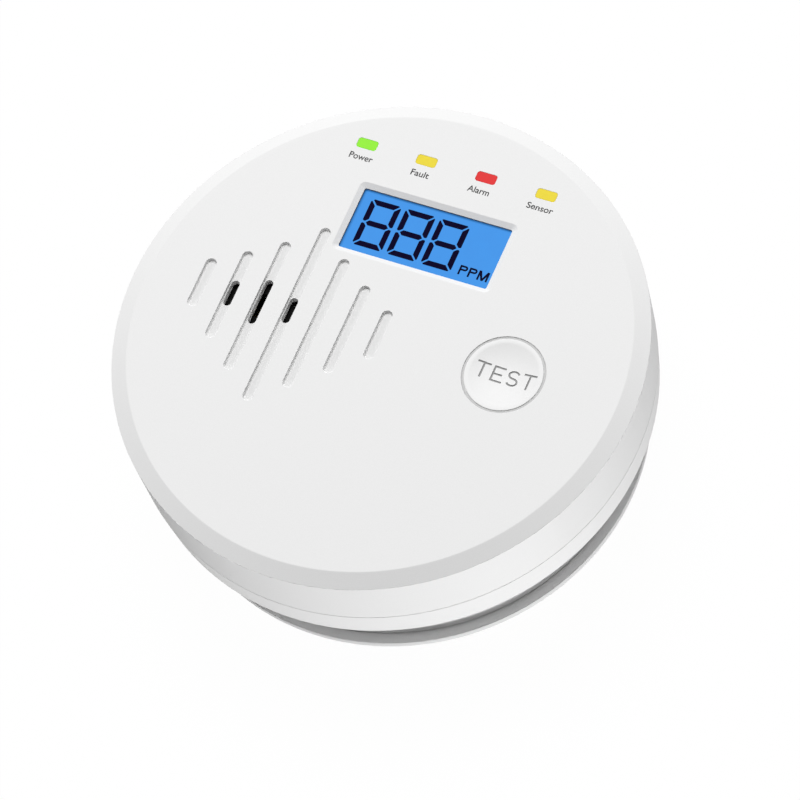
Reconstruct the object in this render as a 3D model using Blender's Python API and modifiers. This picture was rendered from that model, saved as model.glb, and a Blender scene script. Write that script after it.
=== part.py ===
"""A round battery carbon monoxide alarm that lies on its wall plate with the face up.

Units are metres. The origin is the middle of the wall plate's back. +Z points out of the face,
+Y runs towards the indicator lights, and +X is on the right of someone who faces the alarm.
The case is sized from the inside out: cells, bay, drum, housing, cover.
"""

import math

import bmesh
import bpy
from mathutils import Vector

# Fits
GAP = 0.0003
SLIDE_GAP = 0.00045
WINDOW_GAP = 0.00015
BITE = 0.0004

# Smoothness of round pieces
LARGE_ROUND = 60
MEDIUM_ROUND = 28
SMALL_ROUND = 16
ARC_STEPS = 4
SMOOTH_ANGLE = math.radians(35)

# AA cells and their contacts
CELL_COUNT = 3
CELL_DIAMETER = 0.0145
CELL_LENGTH = 0.0505
CELL_NUB_RADIUS = 0.00275
CELL_NUB_LENGTH = 0.0012
CELL_EDGE = 0.0005
CELL_SPACING = 0.0005
CELL_TO_PLATE = 0.00135
CONTACT_THICKNESS = 0.0005
CONTACT_WIDTH = 0.0110
CONTACT_HEIGHT = 0.0110
TAB_WIDTH = 0.0030
TAB_REACH = 0.0050
TAB_BELOW_CEILING = 0.0020
SPRING_LENGTH = 0.0046
SPRING_WIRE_RADIUS = 0.00035
SPRING_BASE_RADIUS = 0.0042
SPRING_TIP_RADIUS = 0.0022
SPRING_TURNS = 3
SPRING_POINTS_PER_TURN = 10
LEAD_RADIUS = 0.0007
LEAD_STRAIGHT = 0.0015
LEAD_BULGE = 0.0026
LEAD_RETURN = 0.0016
LEAD_POINTS_PER_SPAN = 3

# Battery bay in the rear housing
BAY_CLEARANCE = 0.00035
BAY_WALL = 0.0012

# Wall plate and its bayonet
PLATE_THICKNESS = 0.0014
PLATE_LIP = 0.00215
WALL_SCREW_SPACING = 0.0600
WALL_SLOT_WIDTH = 0.0038
WALL_SLOT_LENGTH = 0.0140
HOOK_COUNT = 3
HOOK_START_ANGLE = math.radians(90)
HOOK_ARC = math.radians(10)
HOOK_POST_THICKNESS = 0.0016
HOOK_LIP_THICKNESS = 0.0012
HOOK_HEADROOM = 0.0006
LEDGE_WIDTH = 0.00175
LEDGE_THICKNESS = 0.0012
STOP_ARC = math.radians(1.5)
RELEASE_TURN = math.radians(15)
RELEASE_MARGIN = math.radians(3)

# Rear housing
DRUM_WALL = 0.0020
DRUM_CLEARANCE = 0.0023
DRUM_HEIGHT = 0.01265
BACK_WALL = 0.0016
UNDERCUT = 0.00565
BAND_HEIGHT = 0.00625
BAND_TAPER = 0.0004
BAND_WALL = 0.0020
BAND_FLOOR = 0.0020
TONGUE_HEIGHT = 0.0020
TONGUE_THICKNESS = 0.00105
BOSS_TO_BAY = 0.0055
BOSS_RADIUS = 0.0036
BOSS_SPACING_Y = 0.0280
BOSS_TO_BOARD = 0.0019
BOARD_POST_RADIUS = 0.0020
BOARD_POST_OFFSET = 0.0016

# Front cover
COVER_PLATE = 0.0020
COVER_WALL = 0.0020
COVER_TAPER = 0.0003
CHAMFER_WIDTH = 0.0030
CHAMFER_DROP = 0.0012
COVER_POST_RADIUS = 0.0030

# Screws
HOUSING_SCREW_RADIUS = 0.0014
HOUSING_SCREW_HEAD_RADIUS = 0.0026
HOUSING_SCREW_HEAD = 0.0018
HOUSING_SCREW_SEAT = 0.0040
HOUSING_SCREW_LENGTH = 0.0100
BOARD_SCREW_RADIUS = 0.0010
BOARD_SCREW_HEAD_RADIUS = 0.0019
BOARD_SCREW_HEAD = 0.0012
BOARD_SCREW_LENGTH = 0.0050
BOARD_SCREW_ANGLES = (math.radians(30), math.radians(150), math.radians(270))
PILOT_SPARE = 0.0010

# Circuit board and what stands on it
BOARD_THICKNESS = 0.0016
BOARD_STANDOFF = 0.0016
BOARD_TO_HOUSING = 0.0016
BOARD_POST_CLEARANCE = 0.0005
CHIP_SIZE = 0.0100
CHIP_HEIGHT = 0.0016
CHIP_PLACE = (0.0220, -0.0240)
COIL_RADIUS = 0.0040
COIL_HEIGHT = 0.0070
COIL_FLANGE = 0.0010
COIL_WAIST = 0.0008
COIL_PLACE = (-0.0160, -0.0270)
CAPACITOR_RADIUS = 0.0032
CAPACITOR_HEIGHT = 0.0078
CAPACITOR_PLACE = (0.0120, -0.0365)
GAS_SENSOR_RADIUS = 0.0070
GAS_SENSOR_CAN_HEIGHT = 0.0062
GAS_SENSOR_CAP_HEIGHT = 0.0018
GAS_SENSOR_CAP_INSET = 0.0008
GAS_INLET_RADIUS = 0.0015
GAS_SENSOR_PLACE = (0.0010, -0.0220)
BODY_EDGE = 0.0003

# Sounder under the through slots
SOUNDER_RADIUS = 0.0120
SOUNDER_HEIGHT = 0.0097
SOUNDER_WALL = 0.0012
SOUNDER_LEDGE_WIDTH = 0.0012
SOUNDER_LEDGE_HEIGHT = 0.0040
SOUNDER_HOLE_RADIUS = 0.0025
PIEZO_THICKNESS = 0.0005

# Grille
GROOVE_COUNT = 7
GROOVE_PITCH = 0.0060
GROOVE_WIDTH = 0.0021
GROOVE_DEPTH = 0.0009
GROOVE_TOPS = (0.01850, 0.01350, 0.00955, 0.00605)
GROOVE_BOTTOMS = (-0.01920, -0.01440, -0.00940, -0.00440)
GRILLE_TO_POCKET = 0.0008
SLOT_Y = 0.0007
SLOT_WIDTH = 0.0016
SLOT_LONG = 0.0095
SLOT_SHORT = 0.0054
SOUNDER_GROOVE = 2

# Test button and its switch
BUTTON_PLACE = (0.0249, 0.0004)
BUTTON_RADIUS = 0.00735
BUTTON_RIM = 0.0008
BUTTON_DISH_DEPTH = 0.0007
BUTTON_DISH_STEPS = 6
BUTTON_FLANGE_REACH = 0.0014
BUTTON_FLANGE = 0.0012
BUTTON_STEM_RADIUS = 0.0020
BUTTON_TRAVEL = 0.0008
SWITCH_SIZE = 0.0062
SWITCH_HEIGHT = 0.0037
SWITCH_FLOOR = 0.0010
PLUNGER_RADIUS = 0.00175
PLUNGER_REACH = 0.0020

# Indicator lights
LIGHT_NAMES = ("power", "fault", "alarm", "sensor")
LIGHT_ROW_INSET = 0.0096
LIGHT_PITCH = 0.01215
LIGHT_WIDTH = 0.0040
LIGHT_HEIGHT = 0.00205
LIGHT_CORNER = 0.0005
LIGHT_FLANGE_REACH = 0.0007
LIGHT_FLANGE = 0.0010
LED_WIDTH = 0.0035
LED_DEPTH = 0.0028
LED_HEIGHT = 0.0019

# Display
WINDOW_WIDTH = 0.0316
WINDOW_HEIGHT = 0.0149
WINDOW_CORNER = 0.0012
WINDOW_BEVEL = 0.0009
WINDOW_DEPTH = 0.0006
WINDOW_OFFSET_X = -0.0002
WINDOW_BELOW_LIGHTS = 0.0149
GLASS_MARGIN = 0.0011
GLASS_THICKNESS = 0.0020
BACKLIGHT_THICKNESS = 0.0022
HOLDER_WALL = 0.0009
HOLDER_FLOOR = 0.0012
STRIP_WIDTH = 0.0018
STRIP_END_INSET = 0.0030

# Bay, worked out from the cells
CELL_RADIUS = CELL_DIAMETER / 2
CELL_PITCH = CELL_DIAMETER + CELL_SPACING
CELL_ROW_HALF = CELL_PITCH * (CELL_COUNT - 1) / 2
CONTACT_END = GAP + CONTACT_THICKNESS + GAP
BAY_HALF_X = CELL_ROW_HALF + CELL_RADIUS + BAY_CLEARANCE
BAY_HALF_Y = (CONTACT_END + CELL_LENGTH + GAP + SPRING_LENGTH + CONTACT_END) / 2
BAY_OUTER_X = BAY_HALF_X + BAY_WALL
BAY_OUTER_Y = BAY_HALF_Y + BAY_WALL
CELL_OFFSET_Y = BAY_HALF_Y - CONTACT_END - CELL_LENGTH / 2

# Radii, from the bay outwards
BOSS_X = BAY_OUTER_X + BOSS_TO_BAY + BOSS_RADIUS
BOSS_Y = BOSS_SPACING_Y / 2
BAY_REACH = math.hypot(BAY_OUTER_X, BAY_OUTER_Y)
BOSS_REACH = math.hypot(BOSS_X, BOSS_Y) + BOSS_RADIUS
DRUM_INNER = max(BAY_REACH, BOSS_REACH) + DRUM_CLEARANCE
DRUM_RADIUS = DRUM_INNER + DRUM_WALL
PLATE_RADIUS = DRUM_RADIUS + PLATE_LIP
BAND_BOTTOM_RADIUS = DRUM_RADIUS + UNDERCUT
BAND_TOP_RADIUS = BAND_BOTTOM_RADIUS + BAND_TAPER
BAND_INNER = BAND_BOTTOM_RADIUS - BAND_WALL
TONGUE_RADIUS = BAND_INNER + TONGUE_THICKNESS
COVER_RADIUS = BAND_TOP_RADIUS + COVER_TAPER
FACE_RADIUS = COVER_RADIUS - CHAMFER_WIDTH
BOARD_RADIUS = BAND_INNER - BOARD_TO_HOUSING
BOARD_POST_RING = DRUM_INNER + BOARD_POST_OFFSET

# Levels, from the plate upwards
SKIRT_Z = PLATE_THICKNESS + GAP
LEDGE_TOP_Z = SKIRT_Z + LEDGE_THICKNESS
HOOK_LIP_Z = LEDGE_TOP_Z + GAP
HOOK_TOP_Z = HOOK_LIP_Z + HOOK_LIP_THICKNESS
BACK_WALL_Z = HOOK_TOP_Z + HOOK_HEADROOM
CELL_AXIS_Z = PLATE_THICKNESS + CELL_TO_PLATE + CELL_RADIUS
BAY_CEILING_Z = CELL_AXIS_Z + CELL_RADIUS + BAY_CLEARANCE
BAY_TOP_Z = BAY_CEILING_Z + BAY_WALL
BAND_BOTTOM_Z = SKIRT_Z + DRUM_HEIGHT
BAND_FLOOR_Z = BAND_BOTTOM_Z + BAND_FLOOR
BAND_TOP_Z = BAND_BOTTOM_Z + BAND_HEIGHT
BOARD_Z = max(BAY_TOP_Z, BAND_FLOOR_Z) + BOARD_STANDOFF
BOARD_TOP_Z = BOARD_Z + BOARD_THICKNESS
SEAT_Z = BOARD_TOP_Z + GAP
GAS_SENSOR_HEIGHT = GAS_SENSOR_CAN_HEIGHT + GAP + GAS_SENSOR_CAP_HEIGHT
TALLEST = max(SOUNDER_HEIGHT, GAS_SENSOR_HEIGHT, COIL_HEIGHT, CAPACITOR_HEIGHT)
COVER_UNDER_Z = SEAT_Z + TALLEST + GAP
FACE_Z = COVER_UNDER_Z + COVER_PLATE
RIM_Z = FACE_Z - CHAMFER_DROP
COVER_BOTTOM_Z = BAND_TOP_Z + GAP
TONGUE_TOP_Z = COVER_BOTTOM_Z + TONGUE_HEIGHT
BOSS_TOP_Z = BOARD_Z - BOSS_TO_BOARD
COVER_POST_Z = BOSS_TOP_Z + GAP
SCREW_SEAT_Z = BOSS_TOP_Z - HOUSING_SCREW_SEAT
GLASS_TOP_Z = FACE_Z - WINDOW_DEPTH - GAP
GLASS_Z = GLASS_TOP_Z - GLASS_THICKNESS
BACKLIGHT_Z = GLASS_Z - GAP - BACKLIGHT_THICKNESS
HOLDER_FLOOR_Z = BACKLIGHT_Z - GAP - HOLDER_FLOOR
SWITCH_TOP_Z = SEAT_Z + SWITCH_HEIGHT
PLUNGER_TOP_Z = SWITCH_TOP_Z + PLUNGER_REACH

# Places on the face
LIGHT_Y = FACE_RADIUS - LIGHT_ROW_INSET
WINDOW_X = WINDOW_OFFSET_X
WINDOW_Y = LIGHT_Y - WINDOW_BELOW_LIGHTS
POCKET_HALF_X = WINDOW_WIDTH / 2 - WINDOW_BEVEL + GLASS_MARGIN + GAP
GRILLE_X = WINDOW_X - POCKET_HALF_X - GRILLE_TO_POCKET - GROOVE_WIDTH / 2
MIDDLE_GROOVE = (GROOVE_COUNT - 1) / 2
SOUNDER_PLACE = (GRILLE_X + (SOUNDER_GROOVE - MIDDLE_GROOVE) * GROOVE_PITCH, SLOT_Y)

WHITE = (0.80, 0.80, 0.80)
DISPLAY_BLUE = (0.06, 0.32, 0.83)
LIGHT_COLOURS = {
    "power": (0.31, 0.88, 0.05),
    "fault": (0.87, 0.71, 0.05),
    "alarm": (0.78, 0.05, 0.05),
    "sensor": (0.87, 0.71, 0.05),
}


def clear_scene():
    for old in list(bpy.data.objects):
        bpy.data.objects.remove(old, do_unlink=True)


def make_collection(name):
    collection = bpy.data.collections.new(name)
    bpy.context.scene.collection.children.link(collection)
    return collection


def make_material(name, colour, roughness=0.5, metallic=0.0):
    material = bpy.data.materials.new(name)
    material.use_nodes = True
    shader = material.node_tree.nodes["Principled BSDF"]
    shader.inputs["Base Color"].default_value = (*colour, 1.0)
    shader.inputs["Roughness"].default_value = roughness
    shader.inputs["Metallic"].default_value = metallic
    return material


# Shape tools

def circle(radius, place=(0.0, 0.0), count=SMALL_ROUND):
    """Points of a circle in plan."""
    points = []
    for step in range(count):
        angle = 2 * math.pi * step / count
        points.append((place[0] + radius * math.cos(angle), place[1] + radius * math.sin(angle)))
    return points


def rounded_rectangle(width, depth, corner, place=(0.0, 0.0)):
    """Points of a rectangle in plan, with round corners."""
    points = []
    for quarter, (side_x, side_y) in enumerate(((1, 1), (-1, 1), (-1, -1), (1, -1))):
        for step in range(ARC_STEPS + 1):
            angle = (quarter + step / ARC_STEPS) * math.pi / 2
            x = place[0] + side_x * (width / 2 - corner) + corner * math.cos(angle)
            y = place[1] + side_y * (depth / 2 - corner) + corner * math.sin(angle)
            points.append((x, y))
    return points


def stadium(width, length, place):
    """Points of a slot in plan that runs along Y and has round ends."""
    radius = width / 2
    points = []
    for side in (1, -1):
        for step in range(2 * ARC_STEPS + 1):
            angle = math.pi * step / (2 * ARC_STEPS)
            x = place[0] + side * radius * math.cos(angle)
            y = place[1] + side * (length / 2 - radius + radius * math.sin(angle))
            points.append((x, y))
    return points


def ring_sector(inner, outer, start, end):
    """Points of a piece of a flat ring in plan."""
    angles = [start + (end - start) * step / ARC_STEPS for step in range(ARC_STEPS + 1)]
    points = [(outer * math.cos(angle), outer * math.sin(angle)) for angle in angles]
    points += [(inner * math.cos(angle), inner * math.sin(angle)) for angle in reversed(angles)]
    return points


def settle(drawn, collection):
    """Turns a drawn curve or a modified mesh into one clean mesh object of the same name."""
    name = drawn.name
    bpy.context.scene.collection.objects.link(drawn)
    bpy.context.view_layer.update()
    evaluated = drawn.evaluated_get(bpy.context.evaluated_depsgraph_get())
    mesh = bpy.data.meshes.new_from_object(evaluated)
    matrix = drawn.matrix_world.copy()
    bpy.data.objects.remove(drawn, do_unlink=True)
    weld = bmesh.new()
    weld.from_mesh(mesh)
    bmesh.ops.remove_doubles(weld, verts=weld.verts, dist=1e-6)
    bmesh.ops.recalc_face_normals(weld, faces=weld.faces)
    weld.to_mesh(mesh)
    weld.free()
    mesh.shade_smooth()
    mesh.set_sharp_from_angle(angle=SMOOTH_ANGLE)
    solid = bpy.data.objects.new(name, mesh)
    solid.matrix_world = matrix
    collection.objects.link(solid)
    return solid


def ring_piece(name, profile, start, end, collection):
    """A closed profile of (radius, height) points, swept through an arc about Z."""
    shape = bmesh.new()
    rings = []
    for step in range(ARC_STEPS + 1):
        angle = start + (end - start) * step / ARC_STEPS
        ring = [(radius * math.cos(angle), radius * math.sin(angle), height) for radius, height in profile]
        rings.append([shape.verts.new(place) for place in ring])
    for before, after in zip(rings, rings[1:]):
        for index in range(len(profile)):
            follow = (index + 1) % len(profile)
            shape.faces.new((before[index], before[follow], after[follow], after[index]))
    shape.faces.new(rings[0])
    shape.faces.new(reversed(rings[-1]))
    bmesh.ops.recalc_face_normals(shape, faces=shape.faces)
    mesh = bpy.data.meshes.new(name)
    shape.to_mesh(mesh)
    shape.free()
    item = bpy.data.objects.new(name, mesh)
    collection.objects.link(item)
    return item


def slab(name, outlines, low, high, collection):
    """A flat outline, with any holes, between two heights."""
    curve = bpy.data.curves.new(name, "CURVE")
    curve.dimensions = "2D"
    curve.fill_mode = "BOTH"
    curve.extrude = (high - low) / 2
    for outline in outlines:
        spline = curve.splines.new("POLY")
        spline.points.add(len(outline) - 1)
        for point, (x, y) in zip(spline.points, outline):
            point.co = (x, y, 0.0, 1.0)
        spline.use_cyclic_u = True
    drawn = bpy.data.objects.new(name, curve)
    drawn.location.z = (low + high) / 2
    return settle(drawn, collection)


def turned(name, profile, count, collection, location=(0.0, 0.0, 0.0)):
    """A profile of (radius, height) points, turned about its own Z axis."""
    mesh = bpy.data.meshes.new(name)
    edges = [(index, index + 1) for index in range(len(profile) - 1)]
    mesh.from_pydata([(radius, 0.0, height) for radius, height in profile], edges, [])
    drawn = bpy.data.objects.new(name, mesh)
    drawn.location = location
    screw = drawn.modifiers.new("turn", "SCREW")
    screw.steps = count
    screw.render_steps = count
    screw.use_merge_vertices = True
    screw.merge_threshold = 1e-6
    return settle(drawn, collection)


def rod(name, radius, low, high, place, collection, count=SMALL_ROUND):
    profile = [(0.0, high), (radius, high), (radius, low), (0.0, low)]
    return turned(name, profile, count, collection, (*place, 0.0))


def block(name, low, high, collection, edge=0.0):
    """A box between two corners, with its long edges eased where edge is given."""
    size = Vector(high) - Vector(low)
    shape = bmesh.new()
    bmesh.ops.create_cube(shape, size=1.0)
    bmesh.ops.scale(shape, vec=size, verts=shape.verts)
    mesh = bpy.data.meshes.new(name)
    shape.to_mesh(mesh)
    shape.free()
    item = bpy.data.objects.new(name, mesh)
    item.location = (Vector(low) + Vector(high)) / 2
    collection.objects.link(item)
    if edge:
        bevel = item.modifiers.new("eased_edges", "BEVEL")
        bevel.width = edge
        bevel.segments = 1
    return item


def funnel(name, low_outline, low, high_outline, high, collection):
    """A loft between two outlines with as many points each."""
    shape = bmesh.new()
    bottom = [shape.verts.new((x, y, low)) for x, y in low_outline]
    top = [shape.verts.new((x, y, high)) for x, y in high_outline]
    for index in range(len(bottom)):
        after = (index + 1) % len(bottom)
        shape.faces.new((bottom[index], bottom[after], top[after], top[index]))
    shape.faces.new(reversed(bottom))
    shape.faces.new(top)
    mesh = bpy.data.meshes.new(name)
    shape.to_mesh(mesh)
    shape.free()
    item = bpy.data.objects.new(name, mesh)
    collection.objects.link(item)
    return item


def tube(name, points, radius, detail, collection):
    """A wire through its points, with closed ends."""
    curve = bpy.data.curves.new(name, "CURVE")
    curve.dimensions = "3D"
    curve.bevel_depth = radius
    curve.bevel_resolution = detail
    curve.use_fill_caps = True
    spline = curve.splines.new("POLY")
    spline.points.add(len(points) - 1)
    for point, place in zip(spline.points, points):
        point.co = (*place, 1.0)
    drawn = bpy.data.objects.new(name, curve)
    return settle(drawn, collection)


def smooth_route(stops):
    """Points on one smooth curve through the stops."""
    stops = [Vector(stop) for stop in stops]
    padded = [2 * stops[0] - stops[1]] + stops + [2 * stops[-1] - stops[-2]]
    route = []
    for index in range(1, len(padded) - 2):
        before, start, end, after = padded[index - 1:index + 3]
        for step in range(LEAD_POINTS_PER_SPAN):
            t = step / LEAD_POINTS_PER_SPAN
            bend = 2 * before - 5 * start + 4 * end - after
            twist = 3 * start - 3 * end + after - before
            route.append(start + t * ((end - before) + t * (bend + t * twist)) / 2)
    route.append(stops[-1])
    return route


def combine(target, tool, operation):
    modifier = target.modifiers.new(tool.name, "BOOLEAN")
    modifier.operation = operation
    modifier.object = tool
    tool.hide_render = True
    tool.display_type = "WIRE"


def add(target, tool):
    combine(target, tool, "UNION")


def cut(target, tool):
    combine(target, tool, "DIFFERENCE")


def paint(item, material):
    item.data.materials.clear()
    item.data.materials.append(material)
    return item


# Places of what repeats

def boss_places():
    return [(side_x * BOSS_X, side_y * BOSS_Y) for side_x in (1, -1) for side_y in (1, -1)]


def board_screw_places():
    return [
        (BOARD_POST_RING * math.cos(angle), BOARD_POST_RING * math.sin(angle))
        for angle in BOARD_SCREW_ANGLES
    ]


def hook_angles():
    return [HOOK_START_ANGLE + 2 * math.pi * index / HOOK_COUNT for index in range(HOOK_COUNT)]


def light_x(index):
    return (index - (len(LIGHT_NAMES) - 1) / 2) * LIGHT_PITCH


def cell_x(index):
    return index * CELL_PITCH - CELL_ROW_HALF


def cell_side(index):
    """Which way along Y a cell's nub points: cells lie head to tail."""
    return 1 if index % 2 == 0 else -1


# Wall plate

def make_mounting_plate(parts, cutters):
    outline = circle(PLATE_RADIUS, count=LARGE_ROUND)
    slots = [
        stadium(WALL_SLOT_WIDTH, WALL_SLOT_LENGTH, (side * WALL_SCREW_SPACING / 2, 0.0))
        for side in (1, -1)
    ]
    plate = slab("mounting_plate", [outline] + slots, 0.0, PLATE_THICKNESS, parts)
    post_outer = DRUM_INNER - LEDGE_WIDTH - GAP
    post_inner = post_outer - HOOK_POST_THICKNESS
    lip_outer = DRUM_INNER - SLIDE_GAP
    hook = [
        (post_inner, PLATE_THICKNESS - BITE),
        (post_outer, PLATE_THICKNESS - BITE),
        (post_outer, HOOK_LIP_Z),
        (lip_outer, HOOK_LIP_Z),
        (lip_outer, HOOK_TOP_Z),
        (post_inner, HOOK_TOP_Z),
    ]
    for index, angle in enumerate(hook_angles()):
        ends = (angle - HOOK_ARC / 2, angle + HOOK_ARC / 2)
        add(plate, ring_piece(f"hook_{index + 1}", hook, *ends, cutters))
    return plate


# Rear housing

def housing_profile():
    """Floor, inside wall, tongue, then the outside from top to bottom."""
    return [
        (0.0, BACK_WALL_Z + BACK_WALL),
        (DRUM_INNER, BACK_WALL_Z + BACK_WALL),
        (DRUM_INNER, BAND_FLOOR_Z),
        (BAND_INNER, BAND_FLOOR_Z),
        (BAND_INNER, TONGUE_TOP_Z),
        (TONGUE_RADIUS, TONGUE_TOP_Z),
        (TONGUE_RADIUS, BAND_TOP_Z),
        (BAND_TOP_RADIUS, BAND_TOP_Z),
        (BAND_BOTTOM_RADIUS, BAND_BOTTOM_Z),
        (DRUM_RADIUS, BAND_BOTTOM_Z),
        (DRUM_RADIUS, SKIRT_Z),
        (DRUM_INNER, SKIRT_Z),
        (DRUM_INNER, BACK_WALL_Z),
        (0.0, BACK_WALL_Z),
    ]


def add_ledges(housing, cutters):
    """Ledges that the plate's hooks lock over, each with a stop at the locked end."""
    ledge_half = RELEASE_TURN - RELEASE_MARGIN - HOOK_ARC / 2
    inner = DRUM_INNER - LEDGE_WIDTH
    outer = DRUM_INNER + BITE
    stop_start = HOOK_ARC / 2 + GAP / inner
    stop_end = stop_start + STOP_ARC
    ledge_end = stop_end + BITE / inner
    for index, angle in enumerate(hook_angles()):
        ledge = ring_sector(inner, outer, angle - ledge_half, angle + ledge_end)
        stop = ring_sector(inner + BITE, outer, angle + stop_start, angle + stop_end)
        add(housing, slab(f"ledge_{index + 1}", [ledge], SKIRT_Z + BITE, LEDGE_TOP_Z, cutters))
        add(housing, slab(f"stop_{index + 1}", [stop], LEDGE_TOP_Z - BITE, HOOK_TOP_Z, cutters))


def add_bay(housing, cutters):
    base = BACK_WALL_Z + BACK_WALL - BITE
    low = (-BAY_OUTER_X, -BAY_OUTER_Y, base)
    high = (BAY_OUTER_X, BAY_OUTER_Y, BAY_TOP_Z)
    add(housing, block("bay_walls", low, high, cutters))


def cut_bay(housing, cutters):
    low = (-BAY_HALF_X, -BAY_HALF_Y, BACK_WALL_Z - BITE)
    high = (BAY_HALF_X, BAY_HALF_Y, BAY_CEILING_Z)
    cut(housing, block("bay_space", low, high, cutters))
    for index, side in ((0, 1), (CELL_COUNT - 1, -cell_side(CELL_COUNT - 1))):
        low, high = tab_box(index, side, GAP)
        cut(housing, block(f"tab_slot_{index + 1}", low, high, cutters))


def tab_box(index, side, spare):
    """Corners of an end contact's solder tab, which passes out through the bay's end wall."""
    x = cell_x(index)
    top = BAY_CEILING_Z - TAB_BELOW_CEILING + spare
    bottom = BAY_CEILING_Z - TAB_BELOW_CEILING - CONTACT_THICKNESS - spare
    near = side * (BAY_HALF_Y - GAP - CONTACT_THICKNESS / 2)
    far = side * (BAY_HALF_Y + TAB_REACH)
    half = TAB_WIDTH / 2 + spare
    low = (x - half, min(near, far), bottom)
    high = (x + half, max(near, far), top)
    return low, high


def screw_bore_profile():
    """A clearance hole for the shank, with a wider bore below it for the head."""
    head = HOUSING_SCREW_HEAD_RADIUS + GAP
    shank = HOUSING_SCREW_RADIUS + GAP
    return [
        (0.0, BOSS_TOP_Z + BITE),
        (shank, BOSS_TOP_Z + BITE),
        (shank, SCREW_SEAT_Z),
        (head, SCREW_SEAT_Z),
        (head, BACK_WALL_Z - BITE),
        (0.0, BACK_WALL_Z - BITE),
    ]


def make_rear_housing(parts, cutters):
    housing = turned("rear_housing", housing_profile(), LARGE_ROUND, parts)
    add_bay(housing, cutters)
    for index, place in enumerate(boss_places()):
        base = BACK_WALL_Z + BACK_WALL - BITE
        add(housing, rod(f"boss_{index + 1}", BOSS_RADIUS, base, BOSS_TOP_Z, place, cutters))
    for index, place in enumerate(board_screw_places()):
        base = BAND_FLOOR_Z - BITE
        top = BOARD_Z - GAP
        add(housing, rod(f"board_post_{index + 1}", BOARD_POST_RADIUS, base, top, place, cutters))
    add_ledges(housing, cutters)
    cut_bay(housing, cutters)
    for index, place in enumerate(boss_places()):
        bore = turned(f"screw_bore_{index + 1}", screw_bore_profile(), SMALL_ROUND, cutters, (*place, 0.0))
        cut(housing, bore)
    for index, place in enumerate(board_screw_places()):
        bottom = BOARD_TOP_Z - BOARD_SCREW_LENGTH
        radius = BOARD_SCREW_RADIUS + GAP
        cut(housing, rod(f"board_pilot_{index + 1}", radius, bottom, BOARD_Z + BITE, place, cutters))
    return housing


# Front cover

def cover_profile():
    """Outside from the middle of the face to the rim, then the inside."""
    side_inner = TONGUE_RADIUS + GAP
    return [
        (0.0, FACE_Z),
        (FACE_RADIUS, FACE_Z),
        (COVER_RADIUS, RIM_Z),
        (BAND_TOP_RADIUS, COVER_BOTTOM_Z),
        (side_inner, COVER_BOTTOM_Z),
        (side_inner, TONGUE_TOP_Z + GAP),
        (COVER_RADIUS - COVER_WALL, TONGUE_TOP_Z + GAP),
        (COVER_RADIUS - COVER_WALL, COVER_UNDER_Z),
        (0.0, COVER_UNDER_Z),
    ]


def groove_x(index):
    return GRILLE_X + (index - MIDDLE_GROOVE) * GROOVE_PITCH


def cut_grille(cover, cutters):
    above = FACE_Z + BITE
    for index in range(GROOVE_COUNT):
        steps_out = int(abs(index - MIDDLE_GROOVE))
        top = GROOVE_TOPS[steps_out]
        bottom = GROOVE_BOTTOMS[steps_out]
        outline = stadium(GROOVE_WIDTH, top - bottom, (groove_x(index), (top + bottom) / 2))
        floor = FACE_Z - GROOVE_DEPTH
        cut(cover, slab(f"groove_{index + 1}", [outline], floor, above, cutters))
    below = COVER_UNDER_Z - BITE
    for step, length in ((-1, SLOT_SHORT), (0, SLOT_LONG), (1, SLOT_SHORT)):
        outline = stadium(SLOT_WIDTH, length, (groove_x(SOUNDER_GROOVE + step), SLOT_Y))
        cut(cover, slab(f"slot_{step + 2}", [outline], below, above, cutters))


def cut_window(cover, cutters):
    """A bevelled opening for the display, and the pocket behind it that takes the glass."""
    sill = FACE_Z - WINDOW_DEPTH
    over = BITE * WINDOW_BEVEL / WINDOW_DEPTH
    top = window_outline(over)
    bottom = window_outline(-WINDOW_BEVEL - over)
    cut(cover, funnel("window_bevel", bottom, sill - BITE, top, FACE_Z + BITE, cutters))
    low, high = glass_box(GAP)
    cut(cover, block("glass_pocket", (*low, COVER_UNDER_Z - BITE), (*high, sill), cutters))


def window_outline(spread):
    """The window's edge on the face, moved outwards by spread."""
    width = WINDOW_WIDTH + 2 * spread
    depth = WINDOW_HEIGHT + 2 * spread
    return rounded_rectangle(width, depth, WINDOW_CORNER, (WINDOW_X, WINDOW_Y))


def inner_window():
    return WINDOW_WIDTH - 2 * WINDOW_BEVEL, WINDOW_HEIGHT - 2 * WINDOW_BEVEL


def glass_box(spare):
    """Plan corners of the display glass, made larger on each side by spare."""
    width, depth = inner_window()
    half_x = width / 2 + GLASS_MARGIN + spare
    half_y = depth / 2 + GLASS_MARGIN + spare
    low = (WINDOW_X - half_x, WINDOW_Y - half_y)
    high = (WINDOW_X + half_x, WINDOW_Y + half_y)
    return low, high


def cover_post_profile():
    """A post under the cover, with a blind hole for its screw."""
    hole = HOUSING_SCREW_RADIUS + GAP
    tip = SCREW_SEAT_Z + HOUSING_SCREW_LENGTH + PILOT_SPARE
    top = COVER_UNDER_Z + BITE
    return [
        (0.0, top),
        (COVER_POST_RADIUS, top),
        (COVER_POST_RADIUS, COVER_POST_Z),
        (hole, COVER_POST_Z),
        (hole, tip),
        (0.0, tip),
    ]


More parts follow.
